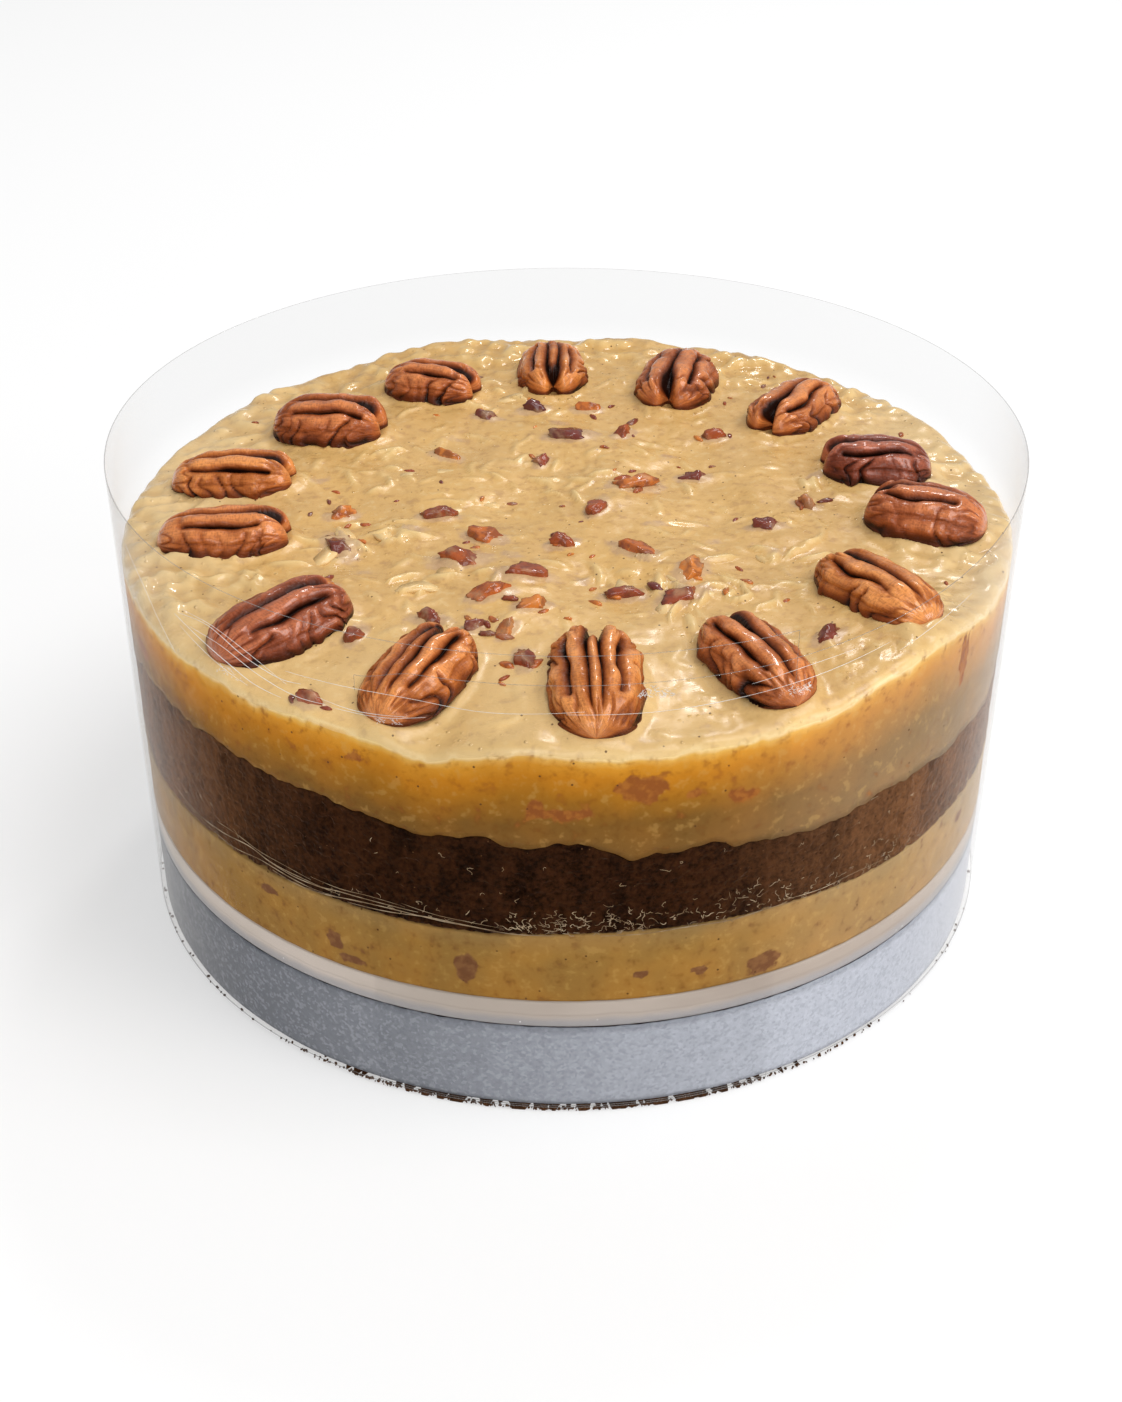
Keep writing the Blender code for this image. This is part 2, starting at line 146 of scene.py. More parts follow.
# Larger chopped nuts half sunk in the top: x, y, length, turn in degrees
CHOPPED = (
    (-0.051, -0.008, 0.006, 20), (-0.05, -0.023, 0.0085, -60), (-0.029, -0.009, 0.007, 10),
    (-0.018, -0.019, 0.0075, -20), (-0.023, -0.03, 0.01, 0), (-0.009, -0.038, 0.0085, 0),
    (-0.016, -0.046, 0.008, 15), (-0.007, -0.051, 0.006, 20), (-0.052, -0.042, 0.006, -15),
    (-0.043, -0.061, 0.0055, 70), (-0.028, -0.056, 0.006, -10), (-0.019, -0.059, 0.0045, 30),
    (-0.012, -0.06, 0.005, 60), (-0.0085, -0.071, 0.0062, -80), (-0.05, -0.084, 0.005, -30),
    (0.001, 0.033, 0.0095, 5), (-0.008, 0.051, 0.0065, 15), (0.005, 0.051, 0.006, 0),
    (0.014, 0.036, 0.0055, 50), (0.03, 0.013, 0.006, 0), (0.016, 0.007, 0.009, 15),
    (0.007, -0.005, 0.0065, 70), (-0.001, -0.022, 0.006, 20), (0.015, -0.026, 0.0085, -40),
    (0.027, -0.035, 0.0085, 60), (0.024, -0.046, 0.0085, 30), (0.012, -0.044, 0.007, 0),
    (0.045, -0.014, 0.006, 0), (0.055, -0.003, 0.005, -30), (-0.029, 0.024, 0.0065, -30),
    (0.053, -0.064, 0.0055, 30), (-0.006, 0.02, 0.005, 80), (0.036, 0.034, 0.005, 10),
    (-0.02, 0.046, 0.0055, -20),
)
CHOPPED_WIDTH = 0.52
STREWN_NUTS = 96
STREWN_REACH = 0.094
# The strewn nuts keep this far from a pecan's middle
PECAN_CLEAR = 0.014
STREWN_CRUMBS = 560

# The camera, at the photograph's place and angle
CAMERA_REACH = 3.9097 * COLLAR_RADIUS
CAMERA_HEIGHT = COLLAR_FOOT + 2.8305 * COLLAR_RADIUS
CAMERA_PITCH = 32.258
CAMERA_YAW = 0.177
CAMERA_LENS = 49.356

# How bright the floor glows by itself, which keeps it pale and its shadows soft
FLOOR_GLOW = 0.475
# How far the floor lies under the cake, so that their faces don't meet
FLOOR_DROP = 0.0001

# The studio: how bright its even light is, and each square lamp's place, size and watts
SKY_GLOW = 0.4
LAMP_AIM = 0.06
LAMPS = (
    ("back_key", (0.3, 1.1, 1.35), 0.22, 4.5),
    ("soft_top", (1.2, -0.4, 2.4), 1.6, 40.0),
    ("side_fill", (2.4, -1.1, 0.75), 1.0, 21.0),
    ("front_fill", (-0.2, -2.6, 1.4), 1.6, 23.0),
)


# Plain helpers

def polar(bearing, reach, height=0.0):
    angle = radians(bearing)
    return Vector((reach * sin(angle), -reach * cos(angle), height))


def bearing_of(x, y):
    return degrees(atan2(x, -y))


def smooth(value, low, high):
    """Goes from 0 at low to 1 at high along an S curve."""
    part = min(max((value - low) / (high - low), 0.0), 1.0)
    return part * part * (3.0 - 2.0 * part)


def hill(bearing, centre, half_width):
    """1 at the centre bearing, fading smoothly to 0 on both sides."""
    away = (bearing - centre + 180.0) % 360.0 - 180.0
    return exp(-((away / half_width) ** 2))


def noise_at(x, y, z):
    """Smooth noise between about -1 and 1."""
    return noise.noise(Vector((x, y, z)))


def ripple(x, y, z, size, seed=0.0):
    """Smooth noise between about -1 and 1, with bumps of the given size."""
    return noise_at(x / size + seed, y / size - seed, z / size + 0.37 * seed)


# The surfaces that the layers share

def filling_top(x, y):
    bearing = bearing_of(x, y)
    waves = 0.0
    for count, phase, rise in FILLING_WAVES:
        waves += rise * sin(radians(count * bearing + phase))
    return FILLING_TOP + waves * smooth(hypot(x, y), RIM_BAND * CAKE_RADIUS, CAKE_RADIUS)


def drape_line(bearing):
    """Where the frosting's ragged lower edge lies against the film."""
    spot = polar(bearing, CAKE_RADIUS)
    ragged = 0.0011 * ripple(spot.x, spot.y, 0.0, 0.0062, 6.0)
    ragged += 0.0007 * ripple(spot.x, spot.y, 0.0, 0.0022, 7.0)
    return DRAPE_HIGHEST + ragged - sum(depth * hill(bearing, centre, width) for centre, width, depth in SAGS)


def sponge_top(x, y):
    fall = smooth(hypot(x, y), CAKE_RADIUS - DRAPE_SPAN, CAKE_RADIUS)
    return SPONGE_CROWN + (drape_line(bearing_of(x, y)) - SPONGE_CROWN) * fall


def frosting_edge(bearing):
    """Where the frosting's upper edge lies against the film."""
    return FROSTING_EDGE + sum(rise * hill(bearing, centre, width) for centre, width, rise in SWELLS)


PECAN_SPOTS = [polar(bearing, reach) for bearing, reach, *_ in PECANS]


def nearest_pecan(x, y):
    return min(hypot(x - spot.x, y - spot.y) for spot in PECAN_SPOTS)


def frosting_form(x, y):
    """The frosting's upper face as the frame has it."""
    reach = hypot(x, y)
    edge = frosting_edge(bearing_of(x, y))
    fall = smooth(reach, EDGE_FALL_FROM * CAKE_RADIUS, CAKE_RADIUS)
    height = FROSTING_CROWN + (edge + EDGE_ROUND_DROP - FROSTING_CROWN) * fall
    rounding = min(max(reach - (CAKE_RADIUS - EDGE_ROUND), 0.0) / EDGE_ROUND, 1.0)
    height -= EDGE_ROUND_DROP * (1.0 - sqrt(1.0 - rounding * rounding))
    lump = LUMP_HEIGHT * noise.noise(Vector((x, y, 0.0)) / LUMP_SIZE)
    calm = smooth(nearest_pecan(x, y), LEVEL_NEAR, LEVEL_NEAR + LEVEL_FADE)
    return height + lump * calm


def oval(x, y, spot, length, width, angle):
    """How far a point is from an oval's middle, 1 on its outline."""
    away = Vector((x - spot[0], y - spot[1]))
    along = away.x * cos(angle) + away.y * sin(angle)
    across = away.y * cos(angle) - away.x * sin(angle)
    return hypot(2 * along / length, 2 * across / width)


PECAN_OVALS = [
    (polar(bearing, reach), length, width, radians(bearing + turn - 90))
    for bearing, reach, length, width, turn, _ in PECANS
]
CHOPPED_OVALS = [((x, y), size, CHOPPED_WIDTH * size, radians(turn)) for x, y, size, turn in CHOPPED]
# Nuts wholly under the skin, which only shade it: x, y, length, turn in degrees
SUNK = (
    (-0.034, -0.016, 0.008, 10), (-0.012, -0.028, 0.007, -25), (0.004, -0.038, 0.006, 40),
    (0.033, -0.02, 0.007, 0), (0.02, -0.012, 0.006, 15), (0.046, -0.026, 0.006, -10),
    (-0.044, -0.034, 0.007, 30), (-0.002, 0.042, 0.008, 0), (0.024, 0.024, 0.007, 20),
    (-0.028, 0.034, 0.007, -15), (0.058, 0.012, 0.006, 0), (-0.058, 0.01, 0.007, 35),
    (-0.02, -0.052, 0.006, 0), (0.018, -0.052, 0.007, 25),
)


def hug(x, y):
    """How far the frosting rises round the nuts that press into it."""
    rise = 0.0
    for spot, length, width, angle in PECAN_OVALS:
        if abs(x - spot[0]) < length and abs(y - spot[1]) < length:
            ring = oval(x, y, spot, length, width, angle) - 1.02
            rise = max(rise, 0.001 * exp(-((ring / 0.15) ** 2)))
    for spot, length, width, angle in CHOPPED_OVALS:
        if abs(x - spot[0]) < length and abs(y - spot[1]) < length:
            ring = oval(x, y, spot, length, width, angle)
            rise = max(rise, 0.0006 * exp(-((ring / 1.3) ** 4)))
    return rise


# Coconut flakes under the frosting's skin: where the thick ones lie in a drift, then the strewn ones
DRIFTS = (
    (-0.046, -0.022, 0.014, 12), (-0.03, -0.04, 0.012, 9), (0.03, -0.048, 0.016, 16),
    (0.048, -0.03, 0.012, 8), (-0.004, 0.01, 0.018, 10), (-0.04, 0.012, 0.014, 8),
    (0.01, -0.036, 0.01, 5), (-0.068, -0.032, 0.01, 6), (0.066, 0.01, 0.012, 7),
    (-0.02, 0.06, 0.018, 9), (0.034, 0.058, 0.016, 8), (0.072, -0.044, 0.01, 6),
)
STREWN_FLAKES = 260
FLAKE_REACH = 0.097
FLAKE_CELL = 0.012


def lay_flakes():
    """Places the flakes by a seeded rule and sorts them into square cells."""
    draw = random.Random(12)
    cells = {}
    spots = []
    for x, y, spread, count in DRIFTS:
        for _ in range(count):
            spots.append((x + draw.gauss(0, spread * 0.5), y + draw.gauss(0, spread * 0.4), 1.0))
    for _ in range(STREWN_FLAKES):
        spot = polar(draw.uniform(-180, 180), FLAKE_REACH * sqrt(draw.random()))
        spots.append((spot.x, spot.y, 0.4))
    for x, y, strength in spots:
        length = draw.uniform(0.004, 0.0105)
        width = draw.uniform(0.0014, 0.0028)
        rise = strength * draw.uniform(0.0005, 0.0011)
        bend = draw.uniform(-0.35, 0.35)
        flake = (x, y, length, width, draw.uniform(0, pi), rise, bend)
        column, row = int(x // FLAKE_CELL), int(y // FLAKE_CELL)
        cells.setdefault((column, row), []).append(flake)
    return cells


FLAKES = lay_flakes()


def flake_rise(x, y):
    """How high the flakes stand under the skin here."""
    column, row = int(x // FLAKE_CELL), int(y // FLAKE_CELL)
    best = 0.0
    for near in ((a, b) for a in (-1, 0, 1) for b in (-1, 0, 1)):
        for fx, fy, length, width, angle, rise, bend in FLAKES.get((column + near[0], row + near[1]), ()):
            dx, dy = x - fx, y - fy
            along = (dx * cos(angle) + dy * sin(angle)) / (length / 2)
            if abs(along) > 1.3:
                continue
            across = dy * cos(angle) - dx * sin(angle)
            across = (across - bend * length * (along * along - 0.4) / 2) / (width / 2)
            ring = along * along + across * across
            best = max(best, rise * smooth(1.25 - ring, 0.0, 1.1))
    return best


def rim_lumps(x, y):
    """Where the frosting stands in wet lumps: in patches round its rim, but not at the front."""
    away = abs(bearing_of(x, y))
    patch = 0.55 + 0.75 * ripple(x, y, 0.0, 0.026, 16.0)
    lumpy = smooth(hypot(x, y), 0.066, 0.09) * smooth(away, 30.0, 60.0) * patch
    return min(max(lumpy, 0.0), 1.0)


def rim_dome(x, y):
    """The noise that the wet lumps round the rim follow."""
    return ripple(x, y, 0.0, 0.0042, 19.0)


def frosting_skin(x, y):
    """The frosting's upper face with its lumps, flakes and the rise round each nut."""
    reach = hypot(x, y)
    loose = 1.0 - 0.3 * smooth(reach, CAKE_RADIUS - 0.005, CAKE_RADIUS)
    busy = 0.7 + 0.5 * ripple(x, y, 0.0, 0.022, 11.0)
    warp = 0.5 * ripple(x, y, 0.0, 0.01, 9.0)
    lumps = 0.00042 * ripple(x, y, 0.0, 0.0085, 3.0)
    folds = 0.00022 * (0.4 - abs(noise_at(x / 0.0055 + warp, y / 0.0065 - warp, 4.0)))
    soft = 0.00018 * ripple(x, y, 0.0, 0.003, 8.0)
    grain = 0.0001 * ripple(x, y, 0.0, 0.0016, 5.0)
    domes = 0.00165 * smooth(rim_dome(x, y), -0.3, 0.55) * rim_lumps(x, y)
    wave = 0.0007 * ripple(x, y, 0.0, 0.006, 21.0) * smooth(reach, CAKE_RADIUS - 0.004, CAKE_RADIUS)
    relief = lumps + busy * (folds + soft + grain) + domes + wave
    return frosting_form(x, y) + loose * (relief + flake_rise(x, y)) + hug(x, y)


# Meshes

def mesh_from(bm, name):
    """Turns a bmesh into a mesh, and frees it."""
    mesh = bpy.data.meshes.new(name)
    bm.to_mesh(mesh)
    bm.free()
    return mesh


def put(name, data):
    """Adds an object with its data to the scene."""
    item = bpy.data.objects.new(name, data)
    bpy.context.scene.collection.objects.link(item)
    return item


def keep(bm, name, surfaces):
    """Turns a bmesh into a smooth piece with its materials, riding on the cake."""
    mesh = mesh_from(bm, name)
    mesh.shade_smooth()
    for surface in surfaces:
        mesh.materials.append(surface)
    piece = put(name, mesh)
    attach(piece, "root")
    return piece


def open_edges(bm, test):
    """The edges with one face whose middle passes the test."""
    found = []
    for edge in bm.edges:
        if edge.is_boundary and test((edge.verts[0].co + edge.verts[1].co) / 2):
            found.append(edge)
    return found


def draw_ring(bm, edges, place):
    """Extrudes a ring of edges and moves each new corner to where place(corner) says."""
    made = bmesh.ops.extrude_edge_only(bm, edges=edges)["geom"]
    for item in made:
        if isinstance(item, bmesh.types.BMVert):
            item.co = place(item.co)
    return [item for item in made if isinstance(item, bmesh.types.BMEdge) and item.is_boundary]


def close_inwards(bm, edges, surface, shares):
    """Carries a rim inwards over a hidden face in rings, and closes the middle."""
    for share in shares:
        def place(corner, share=share):
            flat = Vector((corner.x, corner.y)).normalized() * CAKE_RADIUS * share
            return Vector((flat.x, flat.y, surface(flat.x, flat.y)))
        edges = draw_ring(bm, edges, place)
    bmesh.ops.holes_fill(bm, edges=edges, sides=0)


def round_wall(bm, around, rows, place):
    """A sheet bent round into a closed wall. place(bearing, up) gives each corner, up from 0 to 1."""
    bmesh.ops.create_grid(bm, x_segments=around, y_segments=rows, size=0.5)
    for vert in bm.verts:
        vert.co = place(360.0 * vert.co.x, vert.co.y + 0.5)
    bmesh.ops.remove_doubles(bm, verts=bm.verts, dist=1e-7)


def write_values(piece, name, values):
    """Stores one number for each corner of the piece."""
    layer = piece.data.attributes.new(name, "FLOAT", "POINT")
    layer.data.foreach_set("value", values)


def stamp(bm, template, matrix, tone=None, layer=None):
    """Adds a copy of a template mesh to the bmesh, moved by the matrix."""
    copy = template.copy()
    copy.transform(matrix)
    before = len(bm.verts)
    bm.from_mesh(copy)
    bpy.data.meshes.remove(copy)
    if layer is not None:
        bm.verts.ensure_lookup_table()
        for index in range(before, len(bm.verts)):
            bm.verts[index][layer] = tone


# Shader nodes

def new_material(name):
    made = bpy.data.materials.new(name)
    made.use_nodes = True
    return made, made.node_tree


def coat(made, **sockets):
    """Sets or links the shader's own sockets, and gives the material back."""
    tree = made.node_tree
    for key, value in sockets.items():
        connect(tree, tree.nodes["Principled BSDF"].inputs[key.replace("_", " ")], value)
    return made


def add(tree, kind, settings=None, **sockets):
    """Adds a node. A socket's value is a number, a colour, or another node's output."""
    made = tree.nodes.new(kind)
    for key, value in (settings or {}).items():
        setattr(made, key, value)
    for key, value in sockets.items():
        connect(tree, made.inputs[key.replace("_", " ")], value)
    return made


def connect(tree, socket, value):
    if isinstance(value, bpy.types.NodeSocket):
        tree.links.new(value, socket)
    elif isinstance(value, tuple) and len(value) == 3 and len(socket.default_value) == 4:
        socket.default_value = (*value, 1.0)
    else:
        socket.default_value = value


def coords(tree, stretch=(1.0, 1.0, 1.0)):
    """Object coordinates in metres, stretched along each axis."""
    place = add(tree, "ShaderNodeTexCoord")
    return add(tree, "ShaderNodeMapping", Vector=place.outputs["Object"], Scale=stretch).outputs[0]


def cloud(tree, where, size, detail=3.0, rough=0.55):
    """A noise mask between 0 and 1 with blotches of the given size in metres."""
    made = add(tree, "ShaderNodeTexNoise", Vector=where, Scale=0.5 / size, Detail=detail, Roughness=rough)
    return made.outputs["Fac"]


def span(tree, value, low, high, out_low=0.0, out_high=1.0):
    made = add(
        tree, "ShaderNodeMapRange", {"interpolation_type": "SMOOTHSTEP"},
        Value=value, From_Min=low, From_Max=high, To_Min=out_low, To_Max=out_high,
    )
    return made.outputs["Result"]


def blend(tree, share, first, second, kind="MIX"):
    """Mixes two colours."""
    made = add(tree, "ShaderNodeMix", {"data_type": "RGBA", "blend_type": kind})
    for index, value in ((0, share), (6, first), (7, second)):
        connect(tree, made.inputs[index], value)
    return made.outputs[2]


def maths(tree, kind, first, second=0.0):
    made = add(tree, "ShaderNodeMath", {"operation": kind})
    connect(tree, made.inputs[0], first)
    connect(tree, made.inputs[1], second)
    return made.outputs[0]


def times(tree, first, second):
    return maths(tree, "MULTIPLY", first, second)


def plus(tree, first, second):
    return maths(tree, "ADD", first, second)


def minus(tree, first, second):
    return maths(tree, "SUBTRACT", first, second)


def larger(tree, first, second):
    return maths(tree, "MAXIMUM", first, second)


def attribute(tree, name):
    return add(tree, "ShaderNodeAttribute", {"attribute_name": name}).outputs["Fac"]


def bumped(tree, height, strength, distance):
    made = add(tree, "ShaderNodeBump", Height=height, Strength=strength, Distance=distance)
    return made.outputs["Normal"]


def ramp(tree, value, stops):
    """A colour ramp from (place, colour) stops."""
    made = add(tree, "ShaderNodeValToRGB", Fac=value)
    band = made.color_ramp
    while len(band.elements) < len(stops):
        band.elements.new(0.5)
    for element, (place, colour) in zip(band.elements, stops):
        element.position = place
        element.color = (*colour, 1.0)
    return made.outputs["Color"]


def group(name, numbers, outputs):
    """A new shader node group: a Vector and numbers with their values go in, the named outputs come out."""
    tree = bpy.data.node_groups.new(name, "ShaderNodeTree")
    tree.interface.new_socket(name="Vector", in_out="INPUT", socket_type="NodeSocketVector")
    for label, value in numbers.items():
        made = tree.interface.new_socket(name=label, in_out="INPUT", socket_type="NodeSocketFloat")
        made.default_value = value
    for label, kind in outputs.items():
        tree.interface.new_socket(name=label, in_out="OUTPUT", socket_type=kind)
    source = tree.nodes.new("NodeGroupInput")
    sink = tree.nodes.new("NodeGroupOutput")
    return tree, source.outputs, sink.inputs


def use(tree, shared, **sockets):
    made = tree.nodes.new("ShaderNodeGroup")
    made.node_tree = shared
    for key, value in sockets.items():
        connect(tree, made.inputs[key.replace("_", " ")], value)
    return made.outputs


def specks_group():
    """Small round spots strewn over the surface, hard or soft at their edge: specks, flecks, painted glints
    and wet beads.
    """
    tree, given, out = group(
        "specks", {"Spacing": 0.004, "Size": 0.08, "Share": 0.5, "Soft": 0.3}, {"Mask": "NodeSocketFloat"},
    )
    scale = maths(tree, "DIVIDE", 1.0, given["Spacing"])
    cells = add(tree, "ShaderNodeTexVoronoi", Vector=given["Vector"], Scale=scale)
    core = times(tree, given["Size"], minus(tree, 1.0, given["Soft"]))
    near = span(tree, cells.outputs["Distance"], given["Size"], core)
    draw = add(tree, "ShaderNodeSeparateColor", Color=cells.outputs["Color"]).outputs[0]
    chosen = maths(tree, "LESS_THAN", draw, given["Share"])
    connect(tree, out["Mask"], times(tree, near, chosen))
    return tree


def relief_group():
    """Fine relief for a moist surface: grains and slower bumps together, as a normal."""
    tree, given, out = group(
        "moist_relief", {"Size": 0.001, "Strength": 0.4, "Height": 0.0004},
        {"Normal": "NodeSocketVector", "Relief": "NodeSocketFloat"},
    )
    scale = maths(tree, "DIVIDE", 0.5, given["Size"])
    fine = add(tree, "ShaderNodeTexNoise", Vector=given["Vector"], Scale=scale, Detail=2.0)
    broad = maths(tree, "DIVIDE", scale, 3.5)
    slow = add(tree, "ShaderNodeTexNoise", Vector=given["Vector"], Scale=broad, Detail=1.0)
    both = plus(tree, times(tree, fine.outputs["Fac"], 0.5), slow.outputs["Fac"])
    bump = add(tree, "ShaderNodeBump", Height=both, Strength=given["Strength"], Distance=given["Height"])
    connect(tree, out["Normal"], bump.outputs["Normal"])
    connect(tree, out["Relief"], both)
    return tree


SPECKS = specks_group()
RELIEF = relief_group()


def specks(tree, where, spacing, size, share, soft=0.3):
    """A mask of round spots: their spacing in metres, size as a share of it, and what share of them shows."""
    return use(tree, SPECKS, Vector=where, Spacing=spacing, Size=size, Share=share, Soft=soft)["Mask"]


def moist(tree, where, size, strength=0.4, height=0.0004):
    """The relief of a moist surface, as a Normal and as a Relief value."""
    return use(tree, RELIEF, Vector=where, Size=size, Strength=strength, Height=height)


def custard(name, stops, fleck, stain, stain_pale, stain_share, stain_edge, speck_share,
            gloss, relief, specular, bead_share, on_top=False):
    """Coconut custard: colour by its depth under the edge, which on the frosting's side is painted light
    carried down from the top, blotches, nut stains, flecks, specks, wet beads. The top is paler at the front
    and both sides as painted light and sheen, darker between its lumps as painted shade, and paler on their
    crests as painted light. A side is paler and milkier at the right, as painted light from that side."""
    made, tree = new_material(name)
    where = coords(tree)
    # Painted light: the top is paler towards the front, and a side is paler towards the right
    front_painted_light, right_painted_light, mottled = (0.4, 0.0, 0.4) if on_top else (0.0, 0.22, 0.75)
    colour = ramp(tree, attribute(tree, "depth"), stops)
    patches = span(tree, cloud(tree, where, 0.007, 2.0), 0.35, 0.7)
    colour = blend(tree, times(tree, patches, mottled), colour, (0.72, 0.62, 0.5), "SOFT_LIGHT")
    fine = cloud(tree, where, 0.0013, 2.0, 0.65)
    colour = blend(tree, span(tree, fine, 0.5, 0.72, 0.0, 0.45), colour, (0.6, 0.47, 0.32), "MULTIPLY")
    colour = blend(tree, span(tree, fine, 0.44, 0.3, 0.0, 0.25), colour, fleck)
    # The pale flakes, and painted light on the crests of the rim's lumps
    flakes = times(tree, attribute(tree, "flake"), 0.5)
    colour = blend(tree, flakes, colour, (0.86, 0.65, 0.31))
    parts = add(tree, "ShaderNodeSeparateXYZ", Vector=where).outputs
    front = times(tree, span(tree, parts[1], -0.04, -0.082, 0.0, front_painted_light),
                 span(tree, parts[0], 0.012, 0.06, 1.0, 0.1))
    colour = blend(tree, front, colour, (0.88, 0.64, 0.31))
    if on_top:
        # Painted sheen: the top is paler towards its left and right sides
        away = span(tree, maths(tree, "ABSOLUTE", parts[0]), 0.058, 0.09, 0.0, 0.42)
        colour = blend(tree, away, colour, (0.84, 0.66, 0.38))
        # Painted shade in the hollows between the rim's lumps
        pit_shade_share = times(tree, attribute(tree, "pit"), 0.55)
        colour = blend(tree, pit_shade_share, colour, (0.5, 0.275, 0.075))
    # Painted light on a side: paler and milkier towards the right
    colour = blend(tree, span(tree, parts[0], 0.02, 0.08, 0.0, right_painted_light), colour, (0.56, 0.47, 0.33))
    ragged = times(tree, minus(tree, cloud(tree, where, 0.0013, 3.0), 0.5), 1.8)
    stain = blend(tree, span(tree, cloud(tree, where, 0.0009, 2.0), 0.4, 0.64), stain, stain_pale)
    shown = span(tree, plus(tree, attribute(tree, "stain"), ragged), *stain_edge, 0.0, stain_share)
    colour = blend(tree, shown, colour, stain)
    dots = specks(tree, where, 0.003, 0.095, speck_share)
    colour = blend(tree, times(tree, dots, 0.85), colour, (0.085, 0.032, 0.012))
    lumps = moist(tree, where, 0.0007, relief)
    sheen = span(tree, lumps["Relief"], 0.4, 1.1, gloss, gloss + 0.16)
    beads = times(tree, specks(tree, where, 0.0021, 0.24, bead_share, 0.95), attribute(tree, "wet"))
    beaded = bumped(tree, beads, 1.0, 0.00026)
    tree.links.new(lumps["Normal"], beaded.node.inputs["Normal"])
    soaked = times(tree, attribute(tree, "wet"), 0.18)
    soaked = larger(tree, soaked, times(tree, attribute(tree, "lumpy"), 0.65))
    wet = minus(tree, 1.0, larger(tree, soaked, times(tree, beads, 0.78)))
    return coat(
        made, Base_Color=colour, Normal=beaded, Roughness=times(tree, sheen, wet),
        Specular_IOR_Level=specular,
    )


def crumb():
    """Dark chocolate sponge with open pores, and darker where the film has been rubbed along it. Its pores
    are darkened as painted shade, its sides paler as painted light, and its foot darker as painted shade.
    """
    made, tree = new_material("chocolate_crumb")
    where = coords(tree)
    fine = times(tree, cloud(tree, where, 0.0007, 4.0, 0.75), 0.6)
    broad = times(tree, cloud(tree, coords(tree, (1.0, 1.0, 0.45)), 0.0038, 2.0), 0.4)
    tone = span(tree, plus(tree, fine, broad), 0.34, 0.66)
    # The first colour is the sponge's darkest, at the front; the second, paler one is painted light towards
    # its sides, and a paler crumb at its foot
    wet = blend(tree, tone, (0.006, 0.002, 0.0008), (0.052, 0.018, 0.006))
    dry = blend(tree, tone, (0.082, 0.035, 0.015), (0.207, 0.093, 0.041))
    colour = blend(tree, attribute(tree, "dry"), wet, dry)
    pores = add(tree, "ShaderNodeTexVoronoi", Vector=where, Scale=800.0).outputs["Distance"]
    # Painted shade in the pores
    colour = blend(tree, span(tree, pores, 0.0, 0.3, 0.7, 0.0), colour, (0.005, 0.002, 0.001))
    bits = specks(tree, where, 0.0015, 0.13, 0.14)
    colour = blend(tree, times(tree, bits, 0.45), colour, (0.22, 0.11, 0.045))
    # Dark rubbed stripes down the sponge, and painted shade at its foot under the collar
    colour = blend(tree, attribute(tree, "streak_and_foot_shade"), colour, (0.01, 0.004, 0.002))
    return coat(
        made, Base_Color=colour, Normal=bumped(tree, pores, 0.6, 0.0006),
        Roughness=span(tree, tone, 0.0, 1.0, 0.55, 0.8), Specular_IOR_Level=0.02, Sheen_Weight=0.12,
        Sheen_Roughness=0.3, Sheen_Tint=(1.0, 0.6, 0.34),
    )


def cream():
    """Pale cream, smooth, slowly darker and lighter round the cake, paler at the left and darker at the right
    as painted light, with tiny bright flecks in its foot as painted glints.
    """
    made, tree = new_material("pale_cream")
    where = coords(tree)
    tone = span(tree, cloud(tree, coords(tree, (1.0, 1.0, 4.0)), 0.018), 0.3, 0.7)
    parts = add(tree, "ShaderNodeSeparateXYZ", Vector=where).outputs
    # Painted light: paler at the left, darker at the right
    shade = blend(tree, span(tree, parts[0], -0.08, 0.07), (0.57, 0.49, 0.42), (0.385, 0.315, 0.265))
    light = blend(tree, span(tree, parts[0], -0.08, 0.07), (0.66, 0.57, 0.5), (0.465, 0.39, 0.33))
    colour = blend(tree, tone, shade, light)
    wander = times(tree, cloud(tree, where, 0.003, 3.0), 0.0012)
    level = minus(tree, parts[2], wander)
    colour = blend(tree, span(tree, level, 0.0231, 0.0252, 0.75, 0.0), colour, (0.33, 0.325, 0.34))
    off_seam = maths(tree, "ABSOLUTE", minus(tree, level, CREAM_SEAM))
    colour = blend(tree, span(tree, off_seam, 0.0, 0.0005, 0.22, 0.0), colour, (0.3, 0.25, 0.22))
    # Painted glints: tiny white flecks at the cream's foot
    flecks = specks(tree, where, 0.0016, 0.13, 0.3)
    low = span(tree, level, 0.0245, 0.0232, 0.0, 0.8)
    colour = blend(tree, times(tree, flecks, low), colour, (0.88, 0.88, 0.88))
    return coat(
        made, Base_Color=colour,
        Normal=moist(tree, where, 0.002, 0.15)["Normal"], Roughness=0.45,
        Specular_IOR_Level=0.15,
    )


